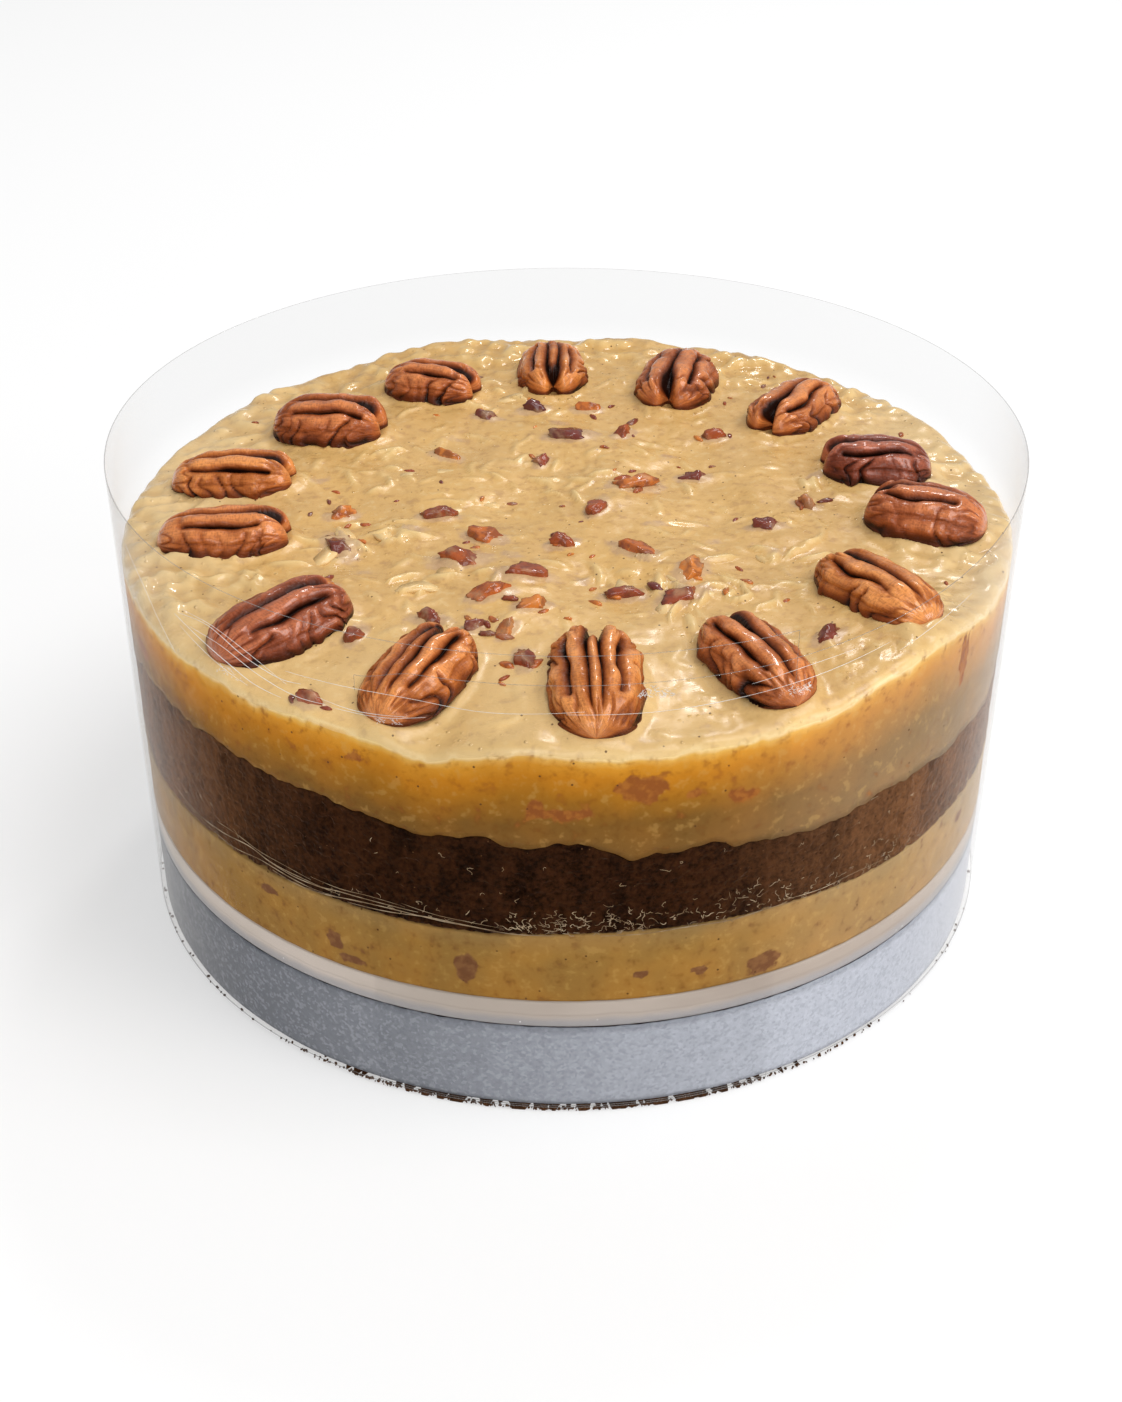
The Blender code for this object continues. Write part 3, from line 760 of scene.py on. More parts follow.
def greased_paper():
    """Cool grey greaseproof paper, mottled where the sponge has wetted it, darker at the left and paler at
    the right as painted light.
    """
    made, tree = new_material("greased_paper")
    where = coords(tree)
    parts = add(tree, "ShaderNodeSeparateXYZ", Vector=where).outputs
    # Painted light: darker at the left, paler at the right
    side = span(tree, parts[0], -0.09, 0.055)
    blots = span(tree, cloud(tree, where, 0.0018, 5.0, 0.75), 0.28, 0.72)
    wet = blend(tree, side, (0.128, 0.134, 0.149), (0.41, 0.427, 0.48))
    dry = blend(tree, side, (0.15, 0.157, 0.176), (0.465, 0.484, 0.54))
    colour = blend(tree, blots, wet, dry)
    flakes = add(tree, "ShaderNodeTexVoronoi", Vector=where, Scale=1500.0).outputs["Color"]
    flake = add(tree, "ShaderNodeSeparateColor", Color=flakes).outputs[0]
    colour = blend(tree, span(tree, flake, 0.6, 0.95, 0.0, 0.2), colour, (0.6, 0.62, 0.68))
    colour = blend(tree, span(tree, flake, 0.4, 0.05, 0.0, 0.2), colour, (0.12, 0.13, 0.16))
    wander = times(tree, cloud(tree, where, 0.0025, 4.0, 0.7), 0.003)
    soaked = span(tree, plus(tree, parts[2], wander), 0.0215, 0.0236, 0.0, 0.38)
    colour = blend(tree, soaked, colour, (0.1, 0.11, 0.135))
    relief = moist(tree, where, 0.0007, 0.35, 0.0003)
    return coat(
        made, Base_Color=colour, Normal=relief["Normal"], Roughness=span(tree, blots, 0.0, 1.0, 0.42, 0.6),
        Specular_IOR_Level=0.25,
    )


def drawn_out(tree, along, stretch, detail, rough=0.5):
    """Noise drawn out along or across a nut's skin."""
    where = add(tree, "ShaderNodeMapping", Vector=along, Scale=stretch).outputs[0]
    noise = add(tree, "ShaderNodeTexNoise", Vector=where, Scale=1.0, Detail=detail, Roughness=rough)
    return noise.outputs["Fac"]


# Pecan skin on the rolls' crests, on their flanks and in the folds, each from the palest nut to the darkest;
# the crests carry painted light and the folds painted shade
PECAN_TONES = (
    ((0.9, 0.35, 0.086), (0.68, 0.21, 0.06), (0.38, 0.088, 0.05)),
    ((0.55, 0.168, 0.032), (0.38, 0.091, 0.022), (0.19, 0.038, 0.022)),
    ((0.2, 0.042, 0.008), (0.115, 0.023, 0.006), (0.045, 0.009, 0.006)),
)


def pecan_skin():
    """Roasted pecan skin: rolls bright with painted light on their crests, folds dark with painted shade,
    faint veins along and across the nut.
    """
    made, tree = new_material("pecan_skin")
    where = coords(tree)
    along = add(tree, "ShaderNodeUVMap", {"uv_map": "skin"}).outputs[0]
    streaks = drawn_out(tree, along, (260.0, 1500.0, 1.0), 2.0, 0.6)
    cross = drawn_out(tree, along, (2600.0, 800.0, 1.0), 2.0)
    tone = attribute(tree, "tone")
    crest, body, deep = (ramp(tree, tone, tuple(zip((0.0, 0.5, 1.0), row))) for row in PECAN_TONES)
    blotch = cloud(tree, where, 0.0032, 2.0)
    wander = times(tree, minus(tree, blotch, 0.5), 0.55)
    # Painted shade in the folds and under the flanks, painted light on the crests
    fold = plus(tree, attribute(tree, "fold_shade"), wander)
    colour = blend(tree, span(tree, fold, -0.04, 0.2), crest, body)
    fine = times(tree, streaks, cross)
    colour = blend(tree, span(tree, fine, 0.3, 0.15, 0.0, 0.36), colour, deep)
    colour = blend(tree, span(tree, fold, 0.12, 0.5, 0.0, 0.95), colour, deep)
    colour = blend(tree, span(tree, fold, 0.4, 0.85, 0.0, 0.97), colour, (0.012, 0.0035, 0.002))
    wrinkles = drawn_out(tree, along, (520.0, 900.0, 1.0), 1.0)
    wrinkles = maths(tree, "ABSOLUTE", minus(tree, wrinkles, 0.5))
    grain = plus(tree, plus(tree, streaks, cross), times(tree, wrinkles, 5.0))
    return coat(
        made, Base_Color=colour, Normal=bumped(tree, grain, 0.4, 0.00022),
        Roughness=span(tree, cross, 0.3, 0.7, 0.3, 0.46), Specular_IOR_Level=0.16,
        Coat_Weight=span(tree, fold, 0.3, 0.02, 0.0, 0.85), Coat_Roughness=0.17,
    )


def nut_flesh():
    """Chopped nuts soaked in custard, from orange brown to purple brown."""
    made, tree = new_material("nut_flesh")
    where = coords(tree)
    colour = ramp(tree, attribute(tree, "tone"), (
        (0.0, (0.7, 0.235, 0.04)), (0.35, (0.5, 0.12, 0.024)), (0.7, (0.27, 0.052, 0.022)),
        (1.0, (0.11, 0.026, 0.026)),
    ))
    patch = span(tree, cloud(tree, where, 0.0014, 3.0), 0.42, 0.62)
    colour = blend(tree, times(tree, patch, 0.6), colour, (0.11, 0.028, 0.02))
    milky = span(tree, cloud(tree, where, 0.0024, 3.0), 0.5, 0.68)
    colour = blend(tree, times(tree, milky, 0.38), colour, (0.56, 0.38, 0.21))
    relief = moist(tree, where, 0.0006, 0.5, 0.0005)
    return coat(
        made, Base_Color=colour, Normal=relief["Normal"], Roughness=span(tree, milky, 0.0, 1.0, 0.14, 0.28),
        Specular_IOR_Level=0.5,
    )


def coconut():
    """Wet coconut flakes, pale yellow."""
    made, tree = new_material("coconut")
    where = coords(tree)
    tone = span(tree, cloud(tree, where, 0.003, 3.0), 0.3, 0.7)
    colour = blend(tree, tone, (0.7, 0.455, 0.185), (0.84, 0.61, 0.3))
    return coat(
        made, Base_Color=colour, Normal=moist(tree, where, 0.0005)["Normal"],
        Roughness=span(tree, tone, 0.0, 1.0, 0.16, 0.3), Specular_IOR_Level=0.4,
    )


def clear_film(name, ends=False):
    """Clear film: see-through, with a pale sheen only where it is seen nearly edge on. It takes least light
    where the custard wets it and at the front, and most above the cake. The ends of the strip stay clear,
    but its rim and foot are greyish lines."""
    made, tree = new_material(name)
    parts = add(tree, "ShaderNodeSeparateXYZ", Vector=coords(tree)).outputs
    over = span(tree, parts[2], FROSTING_EDGE, FROSTING_EDGE + 0.01, 0.99, 0.958)
    front = span(tree, parts[1], -0.085, -0.04, 0.992, 0.95)
    tint = larger(tree, over, front)
    plain = add(tree, "ShaderNodeNewGeometry").outputs["True Normal"]
    facing = add(tree, "ShaderNodeLayerWeight", Blend=0.5, Normal=plain).outputs["Facing"]
    sheen = times(tree, maths(tree, "POWER", facing, 5.0), 0.42)
    share = larger(tree, minus(tree, sheen, 0.018), 0.0)
    if ends:
        rim = span(tree, parts[2], RIM_LOWEST - 0.004, RIM_LOWEST - 0.003)
        foot = span(tree, parts[2], COLLAR_FOOT + 0.002, COLLAR_FOOT + 0.001)
        line = larger(tree, rim, foot)
        share = times(tree, line, 0.22)
        tint = span(tree, line, 0.0, 1.0, 1.0, 0.62)
    clear = add(tree, "ShaderNodeBsdfTransparent", Color=tint)
    mixed = add(tree, "ShaderNodeMixShader", Fac=share)
    tree.links.new(clear.outputs[0], mixed.inputs[1])
    tree.links.new(tree.nodes["Principled BSDF"].outputs[0], mixed.inputs[2])
    tree.links.new(mixed.outputs[0], tree.nodes["Material Output"].inputs["Surface"])
    return coat(made, Base_Color=(0.8, 0.77, 0.74), Roughness=0.1)


def film_glints():
    """Painted highlights: the white of the film's creases and of the grainy wet marks on it."""
    made, _ = new_material("film_glints")
    return coat(made, Base_Color=(1.0, 0.985, 0.95), Roughness=0.25, Alpha=0.8)


def smear_and_glint():
    """Thin streaks of custard that the film draws out over the sponge, pale as painted glints where the wet
    film shines.
    """
    made, tree = new_material("smear_and_glint")
    where = coords(tree)
    tone = span(tree, cloud(tree, where, 0.0025, 3.0), 0.35, 0.7)
    colour = blend(tree, tone, (0.24, 0.15, 0.075), (0.62, 0.47, 0.29))
    return coat(made, Base_Color=colour, Roughness=0.2)


def floor_paint():
    made, _ = new_material("pale_floor")
    return coat(
        made, Base_Color=(0.5, 0.5, 0.5), Roughness=1.0, Specular_IOR_Level=0.0,
        Emission_Color=(1.0, 1.0, 1.0), Emission_Strength=FLOOR_GLOW,
    )


# The layers

def round_sheet(bm, cells):
    """A square grid pressed round into a disc, so that its cells stay even."""
    bmesh.ops.create_grid(bm, x_segments=cells, y_segments=cells, size=1.0)
    for vert in bm.verts:
        x, y = vert.co.x, vert.co.y
        if x == 0 and y == 0:
            continue
        if abs(x) > abs(y):
            reach, angle = x, pi / 4 * y / x
        else:
            reach, angle = y, pi / 2 - pi / 4 * x / y
        vert.co = Vector((reach * cos(angle), reach * sin(angle), 0)) * CAKE_RADIUS


# Nuts that show through the custard's side: bearing, height, half width and half height in metres
FROSTING_STAINS = (
    (-0.6, 0.0763, 0.0064, 0.0016), (-3.4, 0.0772, 0.0022, 0.0024), (8.5, 0.0814, 0.0052, 0.0034),
    (20, 0.0768, 0.0035, 0.0018), (54.4, 0.0867, 0.002, 0.006), (-24, 0.0838, 0.002, 0.0012),
    (14, 0.079, 0.0016, 0.0012), (110, 0.082, 0.005, 0.0025), (150, 0.079, 0.006, 0.0022),
    (188, 0.083, 0.0045, 0.003), (222, 0.08, 0.0055, 0.002), (262, 0.0825, 0.004, 0.003),
    (296, 0.079, 0.005, 0.002),
)
FILLING_STAINS = (
    (-11.6, 0.0368, 0.0024, 0.004), (24, 0.0329, 0.004, 0.0028), (-28.2, 0.0358, 0.0024, 0.0022),
    (-26, 0.032, 0.0034, 0.0012), (8.6, 0.0358, 0.0018, 0.001), (15.7, 0.0349, 0.0022, 0.001),
    (-38, 0.0415, 0.0022, 0.0012), (60, 0.04, 0.0025, 0.0012), (95, 0.037, 0.004, 0.0025),
    (132, 0.035, 0.003, 0.003), (170, 0.039, 0.0045, 0.0022), (205, 0.035, 0.003, 0.0026),
    (248, 0.038, 0.004, 0.002), (285, 0.035, 0.0032, 0.0028),
)


# Dark stripes down the sponge, rubbed by the film: bearing at the top and the foot, half width, strength
STREAKS = (
    (-18.0, -21.0, 0.45, 0.75), (5.6, 5.9, 0.3, 0.45), (-8.0, -8.6, 1.2, 0.3), (33.0, 32.2, 0.4, 0.35),
    (150.0, 151.5, 0.6, 0.5), (230.0, 228.0, 0.5, 0.5),
)

# The depth under the frosting's edge at which the side's colour ramp ends. The ramp is painted light that the
# custard carries down from the top, darker lower down
DEPTH_SCALE = 0.022
# How far along that ramp the frosting's top has come where it meets the film, at the ramp's pale band, a
# painted highlight along the lip
LIP_DEPTH = 0.03
# A corner this near the cake's radius is on the wall
WALL_SKIN = 0.0002


def wet_at(x, y):
    """How beaded with syrup the top is here: in patches, and most round its rim."""
    patch = smooth(ripple(x, y, 0.0, 0.016, 17.0) + 0.5 * ripple(x, y, 0.0, 0.006, 18.0), -0.25, 0.35)
    return 0.12 + 0.88 * max(patch, 0.8 * rim_lumps(x, y))


def nut_shade(x, y):
    """How much a chopped nut under the top's skin shows here, from 0 to 1."""
    shown = 0.0
    for spot, length, width, angle in CHOPPED_OVALS:
        if abs(x - spot[0]) < 1.2 * length and abs(y - spot[1]) < 1.2 * length:
            shown = max(shown, 1.0 - smooth(oval(x, y, spot, length, width, angle), 1.0, 2.3))
    for sx, sy, length, turn in SUNK:
        if abs(x - sx) < length and abs(y - sy) < length:
            ring = oval(x, y, (sx, sy), length, 0.6 * length, radians(turn))
            shown = max(shown, 0.75 * (1.0 - smooth(ring + 0.5 * ripple(x, y, 0.0, 0.003, 20.0), 0.2, 1.3)))
    return shown


def stain_at(stains, bearing, height):
    """How much a nut under the custard's face shows here, from 0 to 1."""
    shown = 0.0
    for centre, level, half_width, half_height in stains:
        away = (bearing - centre + 180.0) % 360.0 - 180.0
        if abs(away) > 9.0:
            continue
        across = radians(away) * CAKE_RADIUS / half_width
        up = (height - level) / half_height
        rough = 0.35 * noise_at(across * 1.7 + centre, up * 1.7, 2.0)
        shown = max(shown, 1.0 - smooth(hypot(across, up) + rough, 0.55, 1.25))
    return shown


def frosting(top, side):
    """The frosting: a lumpy disc, drawn down the film in rows to its sagging lower edge."""
    cells = 268
    rows = 14
    bm = bmesh.new()
    round_sheet(bm, cells)
    for vert in bm.verts:
        vert.co.z = frosting_skin(vert.co.x, vert.co.y)
    edges = open_edges(bm, lambda middle: True)
    for row in range(1, rows + 1):
        part = row / rows

        def place(corner, part=part):
            bearing = bearing_of(corner.x, corner.y)
            low = drape_line(bearing) + GAP
            high = frosting_edge(bearing)
            return Vector((corner.x, corner.y, high + (low - high) * part))
        edges = draw_ring(bm, edges, place)
    close_inwards(bm, edges, lambda x, y: sponge_top(x, y) + GAP, HIDDEN_RINGS)
    bmesh.ops.recalc_face_normals(bm, faces=bm.faces)
    for face in bm.faces:
        middle = face.calc_center_median()
        upright = abs(face.normal.z) < 0.3
        face.material_index = int(upright and hypot(middle.x, middle.y) > 0.99 * CAKE_RADIUS)
    values = {name: [] for name in ("depth", "stain", "flake", "wet", "lumpy", "pit")}
    for vert in bm.verts:
        x, y, z = vert.co
        on_wall = hypot(x, y) > CAKE_RADIUS - WALL_SKIN
        bearing = bearing_of(x, y)
        edge = frosting_edge(bearing)
        # Where the top turns down to the film it takes the ramp's pale band, a painted highlight along the
        # lip
        turned = LIP_DEPTH * smooth(hypot(x, y), CAKE_RADIUS - 0.0022, CAKE_RADIUS - 0.0003)
        uneven = 0.0012 * ripple(x, y, z, 0.0055, 14.0) + 0.0006 * ripple(x, y, z, 0.0018, 15.0)
        rough = 0.0 if on_wall else rim_lumps(x, y)
        dome = rim_dome(x, y)
        # Painted light: the crests of the rim's lumps are paled through the flake share
        lit = rough * smooth(dome, -0.2, 0.4)
        here = {
            "depth": turned + (max(edge + uneven - z, 0.0) / DEPTH_SCALE if on_wall else 0.0),
            "stain": stain_at(FROSTING_STAINS, bearing, z) if on_wall else nut_shade(x, y),
            "flake": 0.0 if on_wall else max(min(flake_rise(x, y) / 0.0009, 1.0), lit),
            "wet": 0.0 if on_wall else wet_at(x, y),
            "lumpy": rough,
            # painted shade in the hollows between the lumps
            "pit": rough * (1.0 - smooth(dome, -0.45, 0.05)),
        }
        for name, value in here.items():
            values[name].append(value)
    piece = keep(bm, "coconut_frosting", [top, side])
    for name, row in values.items():
        write_values(piece, name, row)
    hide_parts("frosting")


def walled_layer(name, surface, radius, low, high, around, rows, dent):
    """A layer whose finely divided side runs between two heights, low(x, y) and high(x, y). The dent says
    how far the side goes in at a spot."""
    bm = bmesh.new()

    def place(bearing, up):
        spot = polar(bearing, radius)
        bottom, top = low(spot.x, spot.y), high(spot.x, spot.y)
        spot.z = bottom + (top - bottom) * up
        share = 1.0 - dent(spot) / radius
        spot.x *= share
        spot.y *= share
        return spot
    round_wall(bm, around, rows, place)
    middle = (low(radius, 0) + high(radius, 0)) / 2
    upper = open_edges(bm, lambda point: point.z > middle)
    lower = open_edges(bm, lambda point: point.z < middle)
    close_inwards(bm, upper, high, HIDDEN_RINGS)
    close_inwards(bm, lower, low, HIDDEN_RINGS[1:])
    bmesh.ops.recalc_face_normals(bm, faces=bm.faces)
    return keep(bm, name, [surface])


def filling(surface):
    around, rows = ((900, 26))
    piece = walled_layer(
        "coconut_filling", surface, CAKE_RADIUS,
        lambda x, y: FILLING_FOOT, filling_top, around, rows,
        lambda spot: 0.00012 * (1.0 + ripple(spot.x, spot.y, spot.z, 0.004, 2.0)),
    )
    spots = [vert.co for vert in piece.data.vertices]
    write_values(piece, "depth", [(FILLING_TOP - spot.z) / (FILLING_TOP - FILLING_FOOT) for spot in spots])
    write_values(piece, "stain", [stain_at(FILLING_STAINS, bearing_of(at.x, at.y), at.z) for at in spots])
    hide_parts("filling")


def crumb_dent(spot):
    """How deep the crumb's pores go in from the film."""
    slow = 0.5 + 0.5 * ripple(spot.x, spot.y, spot.z, 0.005, 1.0)
    pores = max(0.0, ripple(spot.x, spot.y, spot.z, 0.0019, 4.0))
    fine = max(0.0, ripple(spot.x, spot.y, spot.z, 0.0011, 8.0))
    return 0.00025 * slow + 0.0009 * pores + 0.0005 * fine


def streak_at(x, y, z):
    """How dark the rubbed stripes make the sponge here."""
    bearing = bearing_of(x, y)
    down = (SPONGE_CROWN - z) / (SPONGE_CROWN - FILLING_TOP)
    rough = 0.6 + 0.5 * noise_at(bearing * 0.6, z / 0.003, 1.0)
    return min(sum(s * hill(bearing, a + (b - a) * down, w) for a, b, w, s in STREAKS) * rough, 1.0)


def painted_side_light(x, y):
    """Painted light: the sponge is darkest at the front and paler to both sides, sooner towards the right."""
    bearing = bearing_of(x, y)
    spread = smooth(bearing, 12.0, 50.0) if bearing > 0 else smooth(-bearing, 26.0, 62.0)
    return min(max(spread + 0.25 * ripple(x, y, 0.0, 0.012, 22.0) * spread * (2.0 - spread), 0.0), 1.0)


def middle_sponge(surface):
    around, rows = ((1020, 40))
    piece = walled_layer(
        "chocolate_sponge", surface, CAKE_RADIUS,
        lambda x, y: filling_top(x, y) + GAP, sponge_top, around, rows, crumb_dent,
    )
    spots = [vert.co for vert in piece.data.vertices]
    write_values(piece, "streak_and_foot_shade", [max(streak_at(*spot), 0.0) for spot in spots])
    write_values(piece, "dry", [painted_side_light(spot.x, spot.y) for spot in spots])
    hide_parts("middle_sponge")


def foot_dent(spot):
    """The bottom sponge's pores. Its foot is pressed out in crumbs under the collar, closely at the front and
    here and there elsewhere, and set back between them."""
    pressed = 1.0 - smooth(spot.z, 0.5 * COLLAR_FOOT, COLLAR_FOOT)
    rare = 0.78 * smooth(abs(bearing_of(spot.x, spot.y)), 14.0, 42.0)
    crumbs = smooth(ripple(spot.x, spot.y, 0.0, 0.0013, 3.0), rare - 0.28, rare - 0.02)
    out = FOOT_BULGE * crumbs - FOOT_SET_BACK * (1.0 - crumbs)
    return (1.0 - pressed) * crumb_dent(spot) - pressed * out


def bottom_sponge(surface):
    around, rows = ((900, 40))
    piece = walled_layer(
        "bottom_chocolate_sponge", surface, BOTTOM_SPONGE_RADIUS,
        lambda x, y: 0.0, lambda x, y: BOTTOM_SPONGE_TOP, around, rows, foot_dent,
    )
    low = [1.0 - smooth(vert.co.z, 0.001, 0.003) for vert in piece.data.vertices]
    # Painted shade at the foot, under the collar
    write_values(piece, "streak_and_foot_shade", [0.4 * share for share in low])
    write_values(piece, "dry", [0.45 * share for share in low])
    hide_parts("bottom_sponge")


def cream_layer(surface):
    around, rows = ((720, 12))
    piece = walled_layer(
        "cream_disc", surface, CAKE_RADIUS,
        lambda x, y: CREAM_FOOT, lambda x, y: CREAM_TOP, around, rows,
        lambda spot: 0.00018 * exp(-(((spot.z - CREAM_SEAM + 0.0001) / 0.0004) ** 2)),
    )
    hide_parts("cream_layer")


def paper_band(surface):
    """The paper band: a thin closed ring with a slightly uneven upper edge."""
    around, rows = ((900, 20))
    bm = bmesh.new()

    def place(bearing, up):
        spot = polar(bearing, CAKE_RADIUS)
        ragged = -0.00035 * (0.5 + 0.5 * ripple(spot.x, spot.y, 0.0, 0.0025, 7.0))
        spot.z = COLLAR_FOOT + (BAND_TOP + ragged - COLLAR_FOOT) * up
        dent = 0.0001 * (1.0 + ripple(spot.x, spot.y, spot.z, 0.009, 5.0))
        share = 1.0 - dent / CAKE_RADIUS
        return Vector((spot.x * share, spot.y * share, spot.z))
    round_wall(bm, around, rows, place)
    bmesh.ops.recalc_face_normals(bm, faces=bm.faces)
    bmesh.ops.solidify(bm, geom=bm.faces[:], thickness=0.0002)
    bmesh.ops.recalc_face_normals(bm, faces=bm.faces)
    piece = keep(bm, "paper_wrap", [surface])
    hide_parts("paper_band")


# Nuts and coconut on top

def roll(distance, half_width):
    """The rise of a round roll beside a fold, from 0 on the fold's line to 1 on the roll's crest."""
    away = 1.0 - min(distance / half_width, 1.0)
    return sqrt(1.0 - away * away)


def split_tip(side):
    """Where the split end's outline lies along the nut: two round tips with a notch between them."""
    shoulder = max(0.0, (abs(side) - 0.42) / 0.58)
    return -1.0 + 0.32 * exp(-((side / 0.16) ** 2)) + 0.34 * shoulder * shoulder


def fold(distance, half_width, depth):
    """How far a fold cuts in between two rolls, at a distance from its line."""
    return depth * (1.0 - roll(distance, half_width))


def pecan_section(along, turn, seed, slit_at, lean):
    """How far out the nut's skin lies, as a share of its plain oval, and how dark its painted shade is: deep
    in a fold, where the flank tucks under, and less on lumps.
    along runs from -1 at the split end to 1, turn is the angle from the top line. Each lobe is one roll
    bent like a hairpin round a furrow. Two slits at slit_at on both sides of the top line leave a spine
    between them, and slit_at 0 makes one slit. The lean turns the folds about the nut's length."""
    line = turn - lean - 0.13 * noise_at(along * 1.4, seed, 0.0)
    side = abs(line)
    lobe = seed + (3.0 if line > 0 else 0.0)
    vary = noise_at(lobe * 1.31, 7.0, lobe)
    other = noise_at(lobe * 0.77, 3.0, lobe + 9.0)
    split = smooth(-along, -0.3, 0.9)
    slit_deep = (0.26 + 0.26 * split) * (1.0 - smooth(along, 0.55, 0.95))
    if slit_at:
        slit = fold(abs(side - slit_at), slit_at if side < slit_at else 0.27, slit_deep)
        if side < slit_at:
            slit += (0.03 + 0.16 * smooth(-along, 0.3, 0.95)) * smooth(slit_at - side, 0.0, 0.6 * slit_at)
    else:
        slit = fold(max(side - 0.11 * split * split, 0.0), 0.3, slit_deep)
    furrow_at = 0.66 + 0.08 * vary + 0.13 * noise_at(along * 2.1, lobe, 2.0) - 0.05 * along
    first, last = FURROW_START - 0.12 * other, 0.52 + 0.22 * vary
    beyond = (along - min(max(along, first), last)) * PECAN_STRETCH
    off_furrow = hypot(beyond, side - furrow_at)
    shallow = 1.0 - 0.35 * smooth(along, 0.0, last)
    knots = 0.88 + 0.45 * noise_at(along * 4.0, lobe, 6.0)
    furrow = fold(off_furrow, 0.27, (0.4 + 0.15 * vary) * shallow * knots)
    ribs = along * (3.4 + 1.4 * vary) + 1.5 * noise_at(along * 1.7, side * 1.6, lobe) + lobe
    rib_deep = 0.17 * smooth(side, 0.72, 1.02) * (0.6 + 1.3 * noise_at(round(ribs), lobe, 0.5))
    rib = fold(abs(ribs - round(ribs)), 0.4, max(rib_deep, 0.0) * (1.0 - smooth(abs(along), 0.7, 0.9)))
    hem_at = 1.24 + 0.1 * noise_at(along * 2.6, lobe, 8.0)
    hem = fold(abs(side - hem_at), 0.2, 0.07) if abs(along) < 0.85 else 0.0
    pleats = abs(noise_at(along * 2.4, line * 3.4, lobe))
    pleat = 0.08 * (1.0 - min(pleats * 4.5, 1.0)) * smooth(abs(along), 0.35, 0.75)
    pleat *= 1.0 - smooth(abs(along), 0.84, 0.96)
    lumps = 0.075 * noise_at(along * 3.2, line * 2.4, seed + 5.0)
    fine = 0.02 * noise_at(along * 9.0, line * 5.0, seed + 9.0)
    share = 1.05 - slit - furrow - rib - hem - pleat + lumps + fine
    tucked = 0.12 * smooth(abs(turn), 0.6, 1.1) + 0.45 * smooth(abs(turn), 1.15, 1.55)
    # Painted shade: dark in the folds and where the flank tucks under, lighter on lumps
    dark = max(3.8 * slit, 3.8 * furrow, 3.6 * rib, 3.0 * hem, 3.6 * pleat) + tucked - 1.5 * lumps
    return share, min(max(dark, 0.0), 1.0)


def pecan(number, surface):
    """A pecan half, its flat side in the frosting: two lobes, split at the end towards the cake's middle,
    each folded along its length and creased across its flank."""
    bearing, reach, length, width, askew, tone = PECANS[number - 1]
    around, rows = ((168, 104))
    slit_at = SPINES.get(number, 0.0)
    bm = bmesh.new()
    bmesh.ops.create_uvsphere(bm, u_segments=around, v_segments=rows, radius=1.0)
    bmesh.ops.rotate(bm, verts=bm.verts, matrix=Matrix.Rotation(radians(90), 3, "Y"))
    skin = bm.loops.layers.uv.new("skin")
    places = {}
    fold_shades = []
    for vert in bm.verts:
        along = min(max(vert.co.x, -1.0), 1.0)
        raw = atan2(vert.co.y, vert.co.z) / pi
        turn = pi * (0.5 * raw + 0.5 * raw ** 3)
        share, depth = pecan_section(along, turn, 1.7 * number, slit_at, LEANS[number - 1])
        places[vert.index] = (along * length / 2, turn * width / 2)
        fold_shades.append(depth)
        full = (1.0 - along ** 6) ** 0.5 if along < 0 else (1.0 - along ** 3.2) ** 0.5
        side = sin(turn) * full * share
        up = cos(turn) * full * share
        if up < 0:
            up *= 0.36
        if along < -0.5:
            along = -0.5 - (along + 0.5) * (2.0 * split_tip(side) + 1.0)
        vert.co = Vector((along * length / 2, side * width / 2, up * PECAN_CROWN * width))
    for face in bm.faces:
        for corner in face.loops:
            corner[skin].uv = places[corner.vert.index]
    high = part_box(f"pecan_{number:02d}")[1]
    middle = polar(bearing, reach)
    turn = Matrix.Rotation(radians(bearing + askew - 90), 3, "Z")
    ends = [middle + turn @ Vector((way * length / 2, 0, 0)) for way in (-1, 1)]
    inner, outer = (frosting_form(end.x, end.y) for end in ends)
    tilt = Matrix.Rotation(-atan2(outer - inner, length), 3, "Y")
    bmesh.ops.rotate(bm, verts=bm.verts, matrix=turn @ tilt)
    bmesh.ops.translate(bm, verts=bm.verts, vec=middle)
    top = max(vert.co.z for vert in bm.verts)
    bmesh.ops.translate(bm, verts=bm.verts, vec=(0, 0, high.z - top - 0.0004))
    bmesh.ops.recalc_face_normals(bm, faces=bm.faces)
    piece = keep(bm, f"pecan_half_{number:02d}", [surface])
    write_values(piece, "fold_shade", fold_shades)
    write_values(piece, "tone", [tone] * len(fold_shades))
    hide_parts(f"pecan_{number:02d}")


def nut_chip(seed, subdivisions):
    """A broken chip of nut, one unit long, cut by a few flat breaks."""
    draw = random.Random(int(seed * 10))
    bm = bmesh.new()
    bmesh.ops.create_icosphere(bm, subdivisions=subdivisions, radius=0.5)
    cuts = []
    for _ in range(7):
        way = Vector((draw.gauss(0, 1), draw.gauss(0, 1), draw.gauss(0, 1))).normalized()
        cuts.append((way, draw.uniform(0.26, 0.4)))
    for vert in bm.verts:
        for way, reach in cuts:
            beyond = vert.co.dot(way) - reach
            if beyond > 0:
                vert.co -= way * beyond
        vert.co *= 1.0 + 0.25 * noise.noise(vert.co * 5.0 + Vector((seed, 0, 0)))
        vert.co.y *= 0.62
    return mesh_from(bm, "chip")


